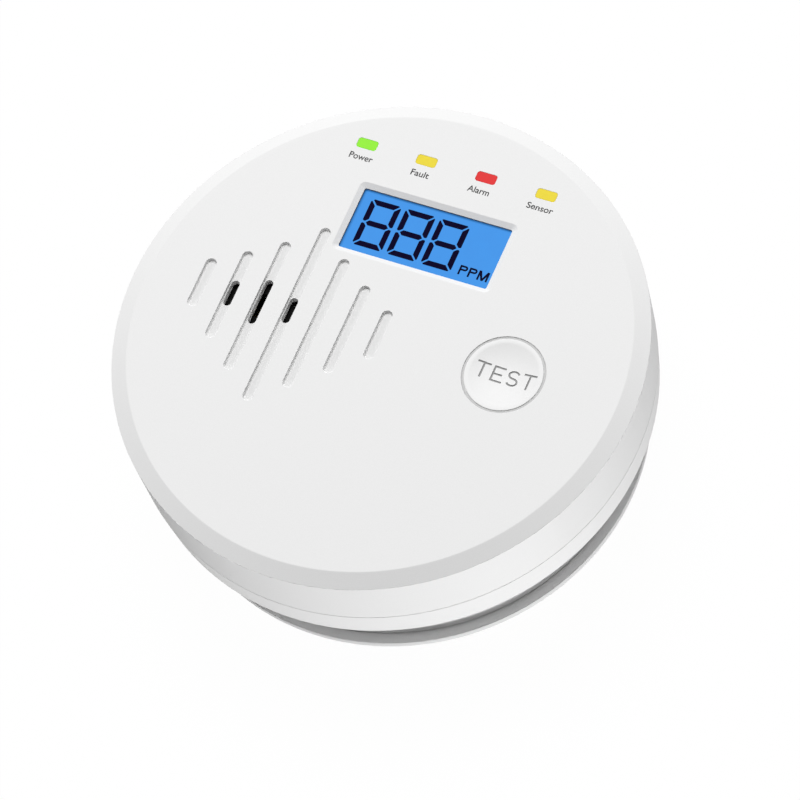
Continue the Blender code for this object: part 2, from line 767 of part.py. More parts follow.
def make_front_cover(parts, cutters):
    cover = turned("front_cover", cover_profile(), LARGE_ROUND, parts)
    for index, place in enumerate(boss_places()):
        post = turned(f"cover_post_{index + 1}", cover_post_profile(), SMALL_ROUND, cutters, (*place, 0.0))
        add(cover, post)
    cut_grille(cover, cutters)
    cut_window(cover, cutters)
    below = COVER_UNDER_Z - BITE
    above = FACE_Z + BITE
    for index, light in enumerate(LIGHT_NAMES):
        width = LIGHT_WIDTH + 2 * WINDOW_GAP
        depth = LIGHT_HEIGHT + 2 * WINDOW_GAP
        outline = rounded_rectangle(width, depth, LIGHT_CORNER + WINDOW_GAP, (light_x(index), LIGHT_Y))
        cut(cover, slab(f"{light}_hole", [outline], below, above, cutters))
    hole = BUTTON_RADIUS + SLIDE_GAP
    cut(cover, rod("button_hole", hole, below, above, BUTTON_PLACE, cutters, MEDIUM_ROUND))
    return cover


# Test button and switch

def button_profile():
    """Dish, round rim, side, flange and stem, as heights above the face."""
    profile = []
    dish_radius = BUTTON_RADIUS - 2 * BUTTON_RIM
    for step in range(BUTTON_DISH_STEPS + 1):
        share = step / BUTTON_DISH_STEPS
        profile.append((dish_radius * share, -BUTTON_DISH_DEPTH * (1 - share ** 2)))
    for step in range(1, ARC_STEPS + 1):
        angle = math.pi / 2 * (1 - step / ARC_STEPS)
        radius = BUTTON_RADIUS - BUTTON_RIM + BUTTON_RIM * math.cos(angle)
        profile.append((radius, BUTTON_RIM * (math.sin(angle) - 1)))
    flange_top = COVER_UNDER_Z - GAP - FACE_Z
    flange_bottom = flange_top - BUTTON_FLANGE
    flange_radius = BUTTON_RADIUS + BUTTON_FLANGE_REACH
    stem_bottom = PLUNGER_TOP_Z + GAP - FACE_Z
    profile += [
        (BUTTON_RADIUS, flange_top),
        (flange_radius, flange_top),
        (flange_radius, flange_bottom),
        (BUTTON_STEM_RADIUS, flange_bottom),
        (BUTTON_STEM_RADIUS, stem_bottom),
        (0.0, stem_bottom),
    ]
    return profile


def make_button(parts):
    return turned("test_button", button_profile(), MEDIUM_ROUND, parts, (*BUTTON_PLACE, FACE_Z))


def make_switch(parts, cutters):
    half = SWITCH_SIZE / 2
    x, y = BUTTON_PLACE
    low = (x - half, y - half, SEAT_Z)
    high = (x + half, y + half, SWITCH_TOP_Z)
    body = block("tact_switch_body", low, high, parts, BODY_EDGE)
    bore_floor = SEAT_Z + SWITCH_FLOOR
    above = SWITCH_TOP_Z + BITE
    cut(body, rod("switch_bore", PLUNGER_RADIUS + GAP, bore_floor, above, BUTTON_PLACE, cutters))
    bottom = bore_floor + BUTTON_TRAVEL + GAP
    plunger = rod("tact_switch_plunger", PLUNGER_RADIUS, bottom, PLUNGER_TOP_Z, BUTTON_PLACE, parts)
    return body, plunger


# Indicator lights

def make_light(index, light, parts, cutters):
    """A light pipe from the face down to its lamp, held by a flange under the cover."""
    place = (light_x(index), LIGHT_Y)
    led_top = SEAT_Z + LED_HEIGHT
    outline = rounded_rectangle(LIGHT_WIDTH, LIGHT_HEIGHT, LIGHT_CORNER, place)
    pipe = slab(f"{light}_light_pipe", [outline], led_top + GAP, FACE_Z, parts)
    width = LIGHT_WIDTH + 2 * LIGHT_FLANGE_REACH
    depth = LIGHT_HEIGHT + 2 * LIGHT_FLANGE_REACH
    flange_top = COVER_UNDER_Z - GAP
    low = (place[0] - width / 2, place[1] - depth / 2, flange_top - LIGHT_FLANGE)
    high = (place[0] + width / 2, place[1] + depth / 2, flange_top)
    add(pipe, block(f"{light}_flange", low, high, cutters))
    low = (place[0] - LED_WIDTH / 2, place[1] - LED_DEPTH / 2, SEAT_Z)
    high = (place[0] + LED_WIDTH / 2, place[1] + LED_DEPTH / 2, led_top)
    led = block(f"{light}_led", low, high, parts, BODY_EDGE)
    return pipe, led


# Display

def make_display(parts, cutters):
    low, high = glass_box(0.0)
    glass = block("lcd_glass", (*low, GLASS_Z), (*high, GLASS_TOP_Z), parts)
    strip_low = low[1] + GAP
    strip_high = strip_low + STRIP_WIDTH
    strip_half = (high[0] - low[0]) / 2 - STRIP_END_INSET
    strip = block(
        "lcd_zebra_strip",
        (WINDOW_X - strip_half, strip_low, SEAT_Z),
        (WINDOW_X + strip_half, strip_high, GLASS_Z - GAP),
        parts,
    )
    backlight = block(
        "lcd_backlight",
        (low[0], strip_high + GAP, BACKLIGHT_Z),
        (high[0], high[1], BACKLIGHT_Z + BACKLIGHT_THICKNESS),
        parts,
    )
    inner_low, inner_high = glass_box(GAP)
    outer_low, outer_high = glass_box(GAP + HOLDER_WALL)
    top = COVER_UNDER_Z - GAP
    holder = block("lcd_holder", (*outer_low, SEAT_Z), (*outer_high, top), parts)
    floor_top = HOLDER_FLOOR_Z + HOLDER_FLOOR
    cut(holder, block("holder_tray", (*inner_low, floor_top), (*inner_high, top + BITE), cutters))
    below = SEAT_Z - BITE
    cut(holder, block("holder_hollow", (*inner_low, below), (*inner_high, HOLDER_FLOOR_Z), cutters))
    slot_low = (WINDOW_X - strip_half - GAP, strip_low - GAP, HOLDER_FLOOR_Z - BITE)
    slot_high = (WINDOW_X + strip_half + GAP, strip_high + GAP, floor_top + BITE)
    cut(holder, block("strip_slot", slot_low, slot_high, cutters))
    return glass, backlight, holder, strip


# Circuit board

def make_board(parts):
    outlines = [circle(BOARD_RADIUS, count=LARGE_ROUND)]
    for place in boss_places():
        outlines.append(circle(COVER_POST_RADIUS + BOARD_POST_CLEARANCE, place))
    for place in board_screw_places():
        outlines.append(circle(BOARD_SCREW_RADIUS + GAP, place))
    return slab("main_board", outlines, BOARD_Z, BOARD_TOP_Z, parts)


def make_chip(parts):
    x, y = CHIP_PLACE
    half = CHIP_SIZE / 2
    low = (x - half, y - half, SEAT_Z)
    high = (x + half, y + half, SEAT_Z + CHIP_HEIGHT)
    return block("microcontroller", low, high, parts, BODY_EDGE)


def make_coil(parts):
    waist = COIL_RADIUS - COIL_WAIST
    top = SEAT_Z + COIL_HEIGHT
    profile = [
        (0.0, top),
        (COIL_RADIUS, top),
        (COIL_RADIUS, top - COIL_FLANGE),
        (waist, top - COIL_FLANGE),
        (waist, SEAT_Z + COIL_FLANGE),
        (COIL_RADIUS, SEAT_Z + COIL_FLANGE),
        (COIL_RADIUS, SEAT_Z),
        (0.0, SEAT_Z),
    ]
    return turned("step_up_coil", profile, SMALL_ROUND, parts, (*COIL_PLACE, 0.0))


def make_capacitor(parts):
    top = SEAT_Z + CAPACITOR_HEIGHT
    profile = [
        (0.0, top),
        (CAPACITOR_RADIUS - BODY_EDGE, top),
        (CAPACITOR_RADIUS, top - BODY_EDGE),
        (CAPACITOR_RADIUS, SEAT_Z),
        (0.0, SEAT_Z),
    ]
    return turned("capacitor", profile, SMALL_ROUND, parts, (*CAPACITOR_PLACE, 0.0))


def make_gas_sensor(parts):
    can_top = SEAT_Z + GAS_SENSOR_CAN_HEIGHT
    can = rod("gas_sensor_can", GAS_SENSOR_RADIUS, SEAT_Z, can_top, GAS_SENSOR_PLACE, parts, MEDIUM_ROUND)
    low = can_top + GAP
    high = low + GAS_SENSOR_CAP_HEIGHT
    radius = GAS_SENSOR_RADIUS - GAS_SENSOR_CAP_INSET
    profile = [
        (GAS_INLET_RADIUS, high),
        (radius, high),
        (radius, low),
        (GAS_INLET_RADIUS, low),
        (GAS_INLET_RADIUS, high),
    ]
    cap = turned("gas_sensor_cap", profile, MEDIUM_ROUND, parts, (*GAS_SENSOR_PLACE, 0.0))
    return can, cap


def make_sounder(parts):
    """A cup with a sound hole in its top, and the disc that lies on a ledge inside."""
    top = SEAT_Z + SOUNDER_HEIGHT
    inner = SOUNDER_RADIUS - SOUNDER_WALL
    ledge = inner - SOUNDER_LEDGE_WIDTH
    ledge_top = SEAT_Z + SOUNDER_LEDGE_HEIGHT
    profile = [
        (SOUNDER_HOLE_RADIUS, top),
        (SOUNDER_RADIUS, top),
        (SOUNDER_RADIUS, SEAT_Z),
        (ledge, SEAT_Z),
        (ledge, ledge_top),
        (inner, ledge_top),
        (inner, top - SOUNDER_WALL),
        (SOUNDER_HOLE_RADIUS, top - SOUNDER_WALL),
        (SOUNDER_HOLE_RADIUS, top),
    ]
    case = turned("sounder_case", profile, MEDIUM_ROUND, parts, (*SOUNDER_PLACE, 0.0))
    low = ledge_top + GAP
    disc = rod("piezo_disc", inner - GAP, low, low + PIEZO_THICKNESS, SOUNDER_PLACE, parts, MEDIUM_ROUND)
    return case, disc


# Cells and contacts

def make_cell(index, parts):
    half = CELL_LENGTH / 2
    shoulder = half - CELL_NUB_LENGTH
    profile = [
        (0.0, half),
        (CELL_NUB_RADIUS, half),
        (CELL_NUB_RADIUS, shoulder),
        (CELL_RADIUS - CELL_EDGE, shoulder),
        (CELL_RADIUS, shoulder - CELL_EDGE),
        (CELL_RADIUS, CELL_EDGE - half),
        (CELL_RADIUS - CELL_EDGE, -half),
        (0.0, -half),
    ]
    side = cell_side(index)
    location = (cell_x(index), side * CELL_OFFSET_Y, CELL_AXIS_Z)
    cell = turned(f"battery_{index + 1}", profile, SMALL_ROUND, parts, location)
    cell.rotation_euler.x = -side * math.pi / 2
    return cell


def contact_plate(name, first, last, side, parts):
    """A thin plate against a bay end wall, across one cell or two."""
    outer = side * (BAY_HALF_Y - GAP)
    inner = side * (BAY_HALF_Y - GAP - CONTACT_THICKNESS)
    low = (cell_x(first) - CONTACT_WIDTH / 2, min(outer, inner), CELL_AXIS_Z - CONTACT_HEIGHT / 2)
    high = (cell_x(last) + CONTACT_WIDTH / 2, max(outer, inner), BAY_CEILING_Z - GAP)
    return block(name, low, high, parts)


def end_contact(name, index, side, parts, cutters):
    contact = contact_plate(name, index, index, side, parts)
    low, high = tab_box(index, side, 0.0)
    add(contact, block(f"{name}_tab", low, high, cutters))
    return contact


def spring_points(index):
    """A coil that narrows from its contact plate to the flat end of its cell."""
    side = cell_side(index)
    start = -side * (BAY_HALF_Y - CONTACT_END - SPRING_WIRE_RADIUS)
    travel = side * (SPRING_LENGTH - 2 * SPRING_WIRE_RADIUS - GAP)
    count = SPRING_TURNS * SPRING_POINTS_PER_TURN
    points = []
    for step in range(count + 1):
        share = step / count
        angle = 2 * math.pi * SPRING_TURNS * share
        radius = SPRING_BASE_RADIUS + (SPRING_TIP_RADIUS - SPRING_BASE_RADIUS) * share
        x = cell_x(index) + radius * math.cos(angle)
        z = CELL_AXIS_Z + radius * math.sin(angle)
        points.append(Vector((x, start + travel * share, z)))
    return points


def least_gap(points):
    """The least clear distance between one turn of a spring and the next."""
    turn = SPRING_POINTS_PER_TURN
    near = min(
        (points[first] - points[second]).length
        for first in range(len(points))
        for second in range(first + turn // 2, len(points))
    )
    return near - 2 * SPRING_WIRE_RADIUS


def make_springs(parts):
    springs = []
    for index in range(CELL_COUNT):
        points = spring_points(index)
        name = f"battery_spring_{index + 1}"
        springs.append(tube(name, points, SPRING_WIRE_RADIUS, 1, parts))
        print(f"{name} least gap to itself {least_gap(points) * 1000:.2f} mm")
    return springs


def make_contacts(parts, cutters):
    last = CELL_COUNT - 1
    contacts = [end_contact("positive_contact", 0, cell_side(0), parts, cutters)]
    contacts.append(end_contact("negative_contact", last, -cell_side(last), parts, cutters))
    for index in range(last):
        name = f"link_contact_{index + 1}"
        contacts.append(contact_plate(name, index, index + 1, -cell_side(index), parts))
    return contacts


def make_lead(name, index, side, sweep, parts):
    """A lead from an end contact's tab up to the underside of the board."""
    x = cell_x(index)
    tab_y = side * (BAY_HALF_Y + TAB_REACH)
    tab_z = BAY_CEILING_Z - TAB_BELOW_CEILING - CONTACT_THICKNESS / 2
    start_y = tab_y + side * GAP
    rise = BOARD_Z - GAP - tab_z
    stops = [
        (x, start_y, tab_z),
        (x, start_y + side * LEAD_STRAIGHT, tab_z),
        (x + sweep * 0.3, start_y + side * LEAD_BULGE, tab_z + rise * 0.2),
        (x + sweep * 0.8, start_y + side * LEAD_RETURN, tab_z + rise * 0.45),
        (x + sweep, start_y, tab_z + rise * 0.75),
        (x + sweep, start_y, tab_z + rise),
    ]
    return tube(name, smooth_route(stops), LEAD_RADIUS, 2, parts)


# Screws

def make_housing_screw(index, place, parts):
    tip = SCREW_SEAT_Z + HOUSING_SCREW_LENGTH
    seat = SCREW_SEAT_Z - GAP
    bottom = seat - HOUSING_SCREW_HEAD
    profile = [
        (0.0, tip),
        (HOUSING_SCREW_RADIUS, tip - HOUSING_SCREW_RADIUS),
        (HOUSING_SCREW_RADIUS, seat),
        (HOUSING_SCREW_HEAD_RADIUS, seat),
        (HOUSING_SCREW_HEAD_RADIUS, bottom + BODY_EDGE),
        (HOUSING_SCREW_HEAD_RADIUS - BODY_EDGE, bottom),
        (0.0, bottom),
    ]
    return turned(f"housing_screw_{index + 1}", profile, SMALL_ROUND, parts, (*place, 0.0))


def make_board_screw(index, place, parts):
    seat = BOARD_TOP_Z + GAP
    top = seat + BOARD_SCREW_HEAD
    tip = seat - BOARD_SCREW_LENGTH
    profile = [
        (0.0, top),
        (BOARD_SCREW_HEAD_RADIUS - BODY_EDGE, top),
        (BOARD_SCREW_HEAD_RADIUS, top - BODY_EDGE),
        (BOARD_SCREW_HEAD_RADIUS, seat),
        (BOARD_SCREW_RADIUS, seat),
        (BOARD_SCREW_RADIUS, tip + BOARD_SCREW_RADIUS),
        (0.0, tip),
    ]
    return turned(f"board_screw_{index + 1}", profile, SMALL_ROUND, parts, (*place, 0.0))


def make_alarm():
    clear_scene()
    parts = make_collection("carbon_monoxide_alarm")
    cutters = make_collection("cutters")
    twist_axis = bpy.data.objects.new("twist_axis", None)
    parts.objects.link(twist_axis)

    white = make_material("white_plastic", WHITE, 0.55)
    blue = make_material("display_blue", DISPLAY_BLUE, 0.15)
    milky = make_material("milky_plastic", (0.85, 0.88, 0.92), 0.4)
    black = make_material("black_plastic", (0.02, 0.02, 0.02), 0.45)
    rubber = make_material("grey_rubber", (0.12, 0.12, 0.13), 0.8)
    board_green = make_material("board_green", (0.02, 0.16, 0.06), 0.4)
    steel = make_material("steel", (0.62, 0.62, 0.62), 0.3, 1.0)
    brass = make_material("brass", (0.72, 0.52, 0.20), 0.3, 1.0)
    jacket = make_material("cell_jacket", (0.05, 0.12, 0.22), 0.35)
    red = make_material("red_lead", (0.60, 0.02, 0.02), 0.5)

    paint(make_mounting_plate(parts, cutters), white)

    head = [paint(make_rear_housing(parts, cutters), white)]
    head.append(paint(make_front_cover(parts, cutters), white))
    head.append(paint(make_button(parts), white))

    switch, plunger = make_switch(parts, cutters)
    head += [paint(switch, black), paint(plunger, white)]

    for index, light in enumerate(LIGHT_NAMES):
        pipe, led = make_light(index, light, parts, cutters)
        tint = make_material(f"{light}_tint", LIGHT_COLOURS[light], 0.25)
        head += [paint(pipe, tint), paint(led, milky)]

    glass, backlight, holder, strip = make_display(parts, cutters)
    head += [paint(glass, blue), paint(backlight, milky), paint(holder, white), paint(strip, rubber)]

    head.append(paint(make_board(parts), board_green))
    head.append(paint(make_chip(parts), black))
    head.append(paint(make_coil(parts), rubber))
    head.append(paint(make_capacitor(parts), jacket))
    can, cap = make_gas_sensor(parts)
    head += [paint(can, steel), paint(cap, white)]
    case, disc = make_sounder(parts)
    head += [paint(case, black), paint(disc, brass)]

    for index in range(CELL_COUNT):
        head.append(paint(make_cell(index, parts), jacket))
    for contact in make_contacts(parts, cutters) + make_springs(parts):
        head.append(paint(contact, steel))
    last = CELL_COUNT - 1
    head.append(paint(make_lead("battery_lead_red", 0, cell_side(0), CELL_PITCH / 2, parts), red))
    black_lead = make_lead("battery_lead_black", last, -cell_side(last), -CELL_PITCH / 2, parts)
    head.append(paint(black_lead, black))

    for index, place in enumerate(boss_places()):
        head.append(paint(make_housing_screw(index, place, parts), steel))
    for index, place in enumerate(board_screw_places()):
        head.append(paint(make_board_screw(index, place, parts), steel))

    for piece in head:
        piece.parent = twist_axis


make_alarm()
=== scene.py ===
"""The looks of a round white carbon monoxide alarm with a blue display.

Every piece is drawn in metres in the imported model's own frame, and rides on one of its bodies.
The face looks along +Z, and +Y runs towards the row of indicator lights.
"""

import math

import bmesh
import bpy
from mathutils import Matrix, Vector


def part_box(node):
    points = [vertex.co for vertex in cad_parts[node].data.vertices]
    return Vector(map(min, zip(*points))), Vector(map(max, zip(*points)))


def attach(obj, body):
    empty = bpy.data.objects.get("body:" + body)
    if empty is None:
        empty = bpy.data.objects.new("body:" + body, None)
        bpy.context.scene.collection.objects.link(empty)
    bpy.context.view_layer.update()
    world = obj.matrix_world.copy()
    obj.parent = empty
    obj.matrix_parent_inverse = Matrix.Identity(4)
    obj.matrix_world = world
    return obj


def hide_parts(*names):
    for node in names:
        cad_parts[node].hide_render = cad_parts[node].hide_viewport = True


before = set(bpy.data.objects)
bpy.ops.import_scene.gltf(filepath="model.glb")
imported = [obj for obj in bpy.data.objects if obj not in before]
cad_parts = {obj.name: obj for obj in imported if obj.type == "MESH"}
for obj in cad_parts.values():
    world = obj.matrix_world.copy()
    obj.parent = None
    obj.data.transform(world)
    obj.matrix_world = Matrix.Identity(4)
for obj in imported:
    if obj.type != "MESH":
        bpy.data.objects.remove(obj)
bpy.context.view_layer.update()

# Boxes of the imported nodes
COVER_LOW, COVER_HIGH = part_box("front_cover")
HOUSING_LOW, HOUSING_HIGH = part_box("rear_housing")
PLATE_LOW, PLATE_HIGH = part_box("mounting_plate")
GLASS_LOW, GLASS_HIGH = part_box("lcd_glass")
BUTTON_LOW, BUTTON_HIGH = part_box("test_button")
FIRST_CELL_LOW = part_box("battery_1")[0]
LAST_CELL_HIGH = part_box("battery_3")[1]
LOWER_LINK_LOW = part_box("link_contact_1")[0]
UPPER_LINK_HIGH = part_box("link_contact_2")[1]

# Smoothness
ROUND = 192
BUTTON_ROUND = 128
SMALL_ROUND = 32
ARC_STEPS = 8
EASE_STEPS = 5
SMOOTH_ANGLE = math.radians(32)
NORMAL_WEIGHT = 100
FLAT_NORMAL = 0.9

# Noise in the finishes
NOISE_DETAIL = 3.0
NOISE_LOW = 0.3
NOISE_HIGH = 0.7

# Fits
GAP = 0.0003
BITE = 0.0004
PRINT_THICKNESS = 0.00002
SURFACE_SLACK = 0.00002
CENTRE_RADIUS = 0.00002

# Case
COVER_RADIUS = COVER_HIGH.x
FACE_Z = COVER_HIGH.z - PRINT_THICKNESS
CHAMFER_WIDTH = 0.0030
CHAMFER_DROP = 0.0012
COVER_PLATE = 0.0020
COVER_WALL = 0.0020
COVER_UNDER_Z = FACE_Z - COVER_PLATE
FACE_EDGE_EASE = 0.0006
CAP_INSET = 0.0005
RIM_EASE = 0.00005
PARTING_GAP = 0.00010
PARTING_EASE = 0.00006
TONGUE_HEIGHT = 0.0020
TONGUE_THICKNESS = 0.00105
COVER_POST_RADIUS = 0.0030
COVER_POST_HOLE = 0.0017
COVER_POST_HOLE_DEPTH = 0.0067
HOUSING_SCREW_COUNT = 4

HOUSING_RADIUS = HOUSING_HIGH.x
TONGUE_TOP_Z = HOUSING_HIGH.z
COVER_BOTTOM_Z = TONGUE_TOP_Z - TONGUE_HEIGHT
BAND_TOP_Z = COVER_BOTTOM_Z - PARTING_GAP
BAND_HEIGHT = 0.00695
BAND_TAPER = 0.0006
BAND_WALL = 0.0018
BAND_FLOOR = 0.0020
BAND_EASE = 0.00030
BAND_EDGE_EASE = 0.00010
UNDERCUT = 0.00525
DRUM_WALL = 0.0020
BACK_WALL = 0.0016
BACK_WALL_ABOVE_SKIRT = 0.0033
BAY_WALL = 0.0012
BAY_SIDE_GAP = 0.00035
BOSS_RADIUS = 0.0036
BOSS_TOP_BELOW_TONGUE = 0.0044
BOSS_SEAT_DEPTH = 0.0036
SKIRT_Z = HOUSING_LOW.z
BAND_BOTTOM_Z = COVER_BOTTOM_Z - BAND_HEIGHT
BAND_BOTTOM_RADIUS = HOUSING_RADIUS - BAND_TAPER
BAND_INNER = BAND_BOTTOM_RADIUS - BAND_WALL
TONGUE_RADIUS = BAND_INNER + TONGUE_THICKNESS
DRUM_RADIUS = BAND_BOTTOM_RADIUS - UNDERCUT
DRUM_INNER = DRUM_RADIUS - DRUM_WALL
BACK_WALL_Z = SKIRT_Z + BACK_WALL_ABOVE_SKIRT
DRUM_FOOT_EASE = 0.00008

# Wall plate
PLATE_RADIUS = PLATE_HIGH.x
PLATE_THICKNESS = 0.0014
PLATE_EASE = 0.00014
HOOK_TOP_Z = PLATE_HIGH.z
HOOK_COUNT = 3
HOOK_START = math.radians(90)
HOOK_ARC = math.radians(10)
HOOK_POST_THICKNESS = 0.0016
HOOK_LIP_THICKNESS = 0.0012
HOOK_LIP_REACH = 0.0016
HOOK_LIP_GAP = 0.00045
WALL_SLOT_X = 0.0300
WALL_SLOT_WIDTH = 0.0038
WALL_SLOT_LENGTH = 0.0140

# Grille
GROOVE_COUNT = 7
GROOVE_PITCH = 0.0060
GROOVE_WIDTH = 0.0021
GROOVE_DEPTH = 0.00066
GROOVE_TOPS = (0.01850, 0.01350, 0.00955, 0.00605)
GROOVE_BOTTOMS = (-0.01920, -0.01440, -0.00940, -0.00440)
GROOVE_EDGE = 0.00005
GROOVE_ROOT = 0.00012
GROOVE_DRAFT = 0.00006
GRILLE_X = -0.01835
SLOT_Y = 0.0007
SLOT_WIDTH = 0.0016
SLOT_LENGTHS = {-2: 0.0054, -1: 0.0095, 0: 0.0054}

# Display
WINDOW_PLACE = ((GLASS_LOW.x + GLASS_HIGH.x) / 2, (GLASS_LOW.y + GLASS_HIGH.y) / 2)
WINDOW_WIDTH = 0.03202
WINDOW_HEIGHT = 0.01498
WINDOW_DROP = 0.0001
WINDOW_CORNER = 0.0012
WINDOW_LEAST_CORNER = 0.0004
WINDOW_BEVEL = 0.00102
WINDOW_DEPTH = 0.00055
WINDOW_EDGE = 0.00014
SHADE_REACH = 0.0006
SHADE_DIM = 0.45
DISPLAY_CORNER = (
    WINDOW_PLACE[0] - WINDOW_WIDTH / 2 + WINDOW_BEVEL,
    WINDOW_PLACE[1] + WINDOW_HEIGHT / 2 - WINDOW_BEVEL,
)
WINDOW_SILL_GAP = 0.00005
GLASS_SINK = 0.00015
GLASS_TOP_Z = GLASS_HIGH.z - GLASS_SINK
GLASS_EDGE = 0.00020
SEGMENT_THICKNESS = 0.00003
DIGIT_COUNT = 3
DIGIT_WIDTH = 0.00608
DIGIT_HEIGHT = 0.00995
DIGIT_PITCH = 0.00697
DIGIT_STROKE = 0.00108
DIGIT_GAP = 0.00023
DIGIT_CLIP = 0.00034
FIRST_DIGIT = (-0.01297, -0.00508)
UNIT_FLOOR = -0.00502
UNIT_HEIGHT = 0.0020
UNIT_STROKE = 0.00036
M_SHOULDER_STROKES = 1.25
M_NOTCH_SHARE = 0.28
M_FOOT_STROKES = 0.5
P_BOWL_SHARE = 0.27
UNIT_LETTERS = (("P", 0.00845, 0.00160), ("P", 0.01035, 0.00160), ("M", 0.01225, 0.00208))

# Indicator lights
LIGHT_NAMES = ("power", "fault", "alarm", "sensor")
LIGHT_WIDTH = 0.00395
LIGHT_HEIGHT = 0.0020
LIGHT_CORNER = 0.0005
LIGHT_GAP = 0.00004
LIGHT_EDGE = 0.00006
LIGHT_SHIFT = -0.00012
LIGHT_FLANGE = 0.0010
LIGHT_FLANGE_REACH = 0.0007
LIGHT_LEAST_CORNER = 0.000125
LIGHT_DARK_SHARE = 0.42
LIGHT_PALE_SHARE = 0.47
LIGHT_GLOW = 0.50
LIGHT_COLOURS = {
    "power": (0.314, 0.888, 0.048),
    "fault": (0.871, 0.716, 0.050),
    "alarm": (0.783, 0.038, 0.040),
    "sensor": (0.871, 0.716, 0.050),
}

# Captions of the lights: half the width of each word, and its shift from its light
CAPTIONS = {"power": "Power", "fault": "Fault", "alarm": "Alarm", "sensor": "Sensor"}
CAPTION_HALF_WIDTHS = {"power": 0.00235, "fault": 0.0018, "alarm": 0.00215, "sensor": 0.0026}
CAPTION_SHIFTS = {"power": -0.00005, "fault": -0.00010, "alarm": -0.00035, "sensor": -0.00010}
CAPTION_BELOW_LIGHT = 0.0029
CAPTION_HEIGHT = 0.0013
CAPTION_WEIGHT = 0.012
WORD_EXTRUDE = 0.5

# Test button
BUTTON_PLACE = ((BUTTON_LOW.x + BUTTON_HIGH.x) / 2, (BUTTON_LOW.y + BUTTON_HIGH.y) / 2)
BUTTON_RADIUS = 0.00735
BUTTON_HOLE_GAP = 0.00045
BUTTON_HOLE_EDGE = 0.00008
BUTTON_EDGE = 0.00014
BUTTON_LAND = 0.00075
BUTTON_SHOULDER_DEPTH = 0.00016
BUTTON_SHOULDER_GAP = 0.00003
BUTTON_DISH_DEPTH = 0.00078
BUTTON_DISH_STEPS = 24
BUTTON_FLANGE = 0.0012
BUTTON_FLANGE_REACH = 0.0014
BUTTON_STEM_RADIUS = 0.0020
LETTER_HEIGHT = 0.0032
LETTER_STROKE = 0.00036
LETTER_DEPTH = 0.00014
LETTER_GAP = 0.00066
LETTER_WIDTHS = {"T": 0.00254, "E": 0.00230, "S": 0.00232}
LETTER_STEP = 0.0004
LETTER_PLACE = (0.00027, 0.0)
S_UPPER_START = math.radians(25)
S_LOWER_START = math.radians(90)
S_SWEEP = math.radians(245)
S_LEAST_STEP_SHARE = 0.01

# View
CAMERA_AZIMUTH = math.radians(41.17)
CAMERA_ELEVATION = math.radians(60.42)
CAMERA_ROLL = math.radians(20.38)
CAMERA_DISTANCE = 0.87206
CAMERA_AIM = Vector((0.00634, -0.00741, 0.02756))
CAMERA_LENS = 215.19
CAMERA_SENSOR = 36.0
CAMERA_NEAR = 0.01

# Stage
FLOOR_RADIUS = 4.0
FLOOR_GAP = 0.0001
FLOOR_GREY = 0.18
FLOOR_GLOW = 1.07
FLOOR_GLOW_SHARE = 0.92
AMBIENT = 0.12
LAMP_DISTANCE = 2.0

# Lamps: degrees round from the camera, degrees up, width in metres, brightness
LAMPS = {
    "key": (164, 62, 1.3, 1.115),
    "low_front": (13, -46, 0.8, 0.93),
    "low_left": (-42, -46, 0.8, 0.38),
    "side_right": (62, -8, 0.8, 0.12),
    "side_left": (-20, -8, 0.8, 0.09),
}


# Outlines in plan

def circle_outline(radius, place, count=ROUND):
    points = []
    for step in range(count):
        angle = 2 * math.pi * step / count
        points.append((place[0] + radius * math.cos(angle), place[1] + radius * math.sin(angle)))
    return points


def box_outline(width, depth, corner, place):
    """A rectangle with round corners."""
    points = []
    for quarter, (side_x, side_y) in enumerate(((1, 1), (-1, 1), (-1, -1), (1, -1))):
        for step in range(ARC_STEPS + 1):
            angle = (quarter + step / ARC_STEPS) * math.pi / 2
            x = place[0] + side_x * (width / 2 - corner) + corner * math.cos(angle)
            y = place[1] + side_y * (depth / 2 - corner) + corner * math.sin(angle)
            points.append((x, y))
    return points


def slot_outline(width, length, place):
    """A slot along Y with round ends."""
    radius = width / 2
    points = []
    for side in (1, -1):
        for step in range(2 * ARC_STEPS + 1):
            angle = math.pi * step / (2 * ARC_STEPS)
            x = place[0] + side * radius * math.cos(angle)
            y = place[1] + side * (length / 2 - radius + radius * math.sin(angle))
            points.append((x, y))
    return points


# Solids

def eased(corners):
    """A profile through (radius, height, fillet) corners, with each fillet drawn as an arc."""
    points = []
    for index, (radius, height, fillet) in enumerate(corners):
        here = Vector((radius, height))
        if not fillet:
            points.append(here)
            continue
        before = (Vector(corners[index - 1][:2]) - here).normalized()
        after = (Vector(corners[index + 1][:2]) - here).normalized()
        half = before.angle(after) / 2
        centre = here + (before + after).normalized() * fillet / math.sin(half)
        start = (here + before * fillet / math.tan(half) - centre).normalized()
        end = (here + after * fillet / math.tan(half) - centre).normalized()
        for step in range(EASE_STEPS + 1):
            points.append(centre + start.slerp(end, step / EASE_STEPS) * fillet)
    return points


def mesh_object(name, shape):
    bmesh.ops.recalc_face_normals(shape, faces=shape.faces)
    mesh = bpy.data.meshes.new(name)
    shape.to_mesh(mesh)
    shape.free()
    item = bpy.data.objects.new(name, mesh)
    bpy.context.scene.collection.objects.link(item)
    return item


def loft(name, rings):
    """A skin over rings of points, with a flat cap on each end."""
    shape = bmesh.new()
    levels = [[shape.verts.new(point) for point in ring] for ring in rings]
    for lower, upper in zip(levels, levels[1:]):
        for index in range(len(lower)):
            after = (index + 1) % len(lower)
            shape.faces.new((lower[index], lower[after], upper[after], upper[index]))
    shape.faces.new(levels[0])
    shape.faces.new(levels[-1])
    return mesh_object(name, shape)


def turned(name, profile, count=ROUND, place=(0.0, 0.0)):
    """A profile of (radius, height) points, turned about a line along Z."""
    rings = []
    for radius, height in profile:
        rings.append([(x, y, height) for x, y in circle_outline(radius, place, count)])
    return loft(name, rings)


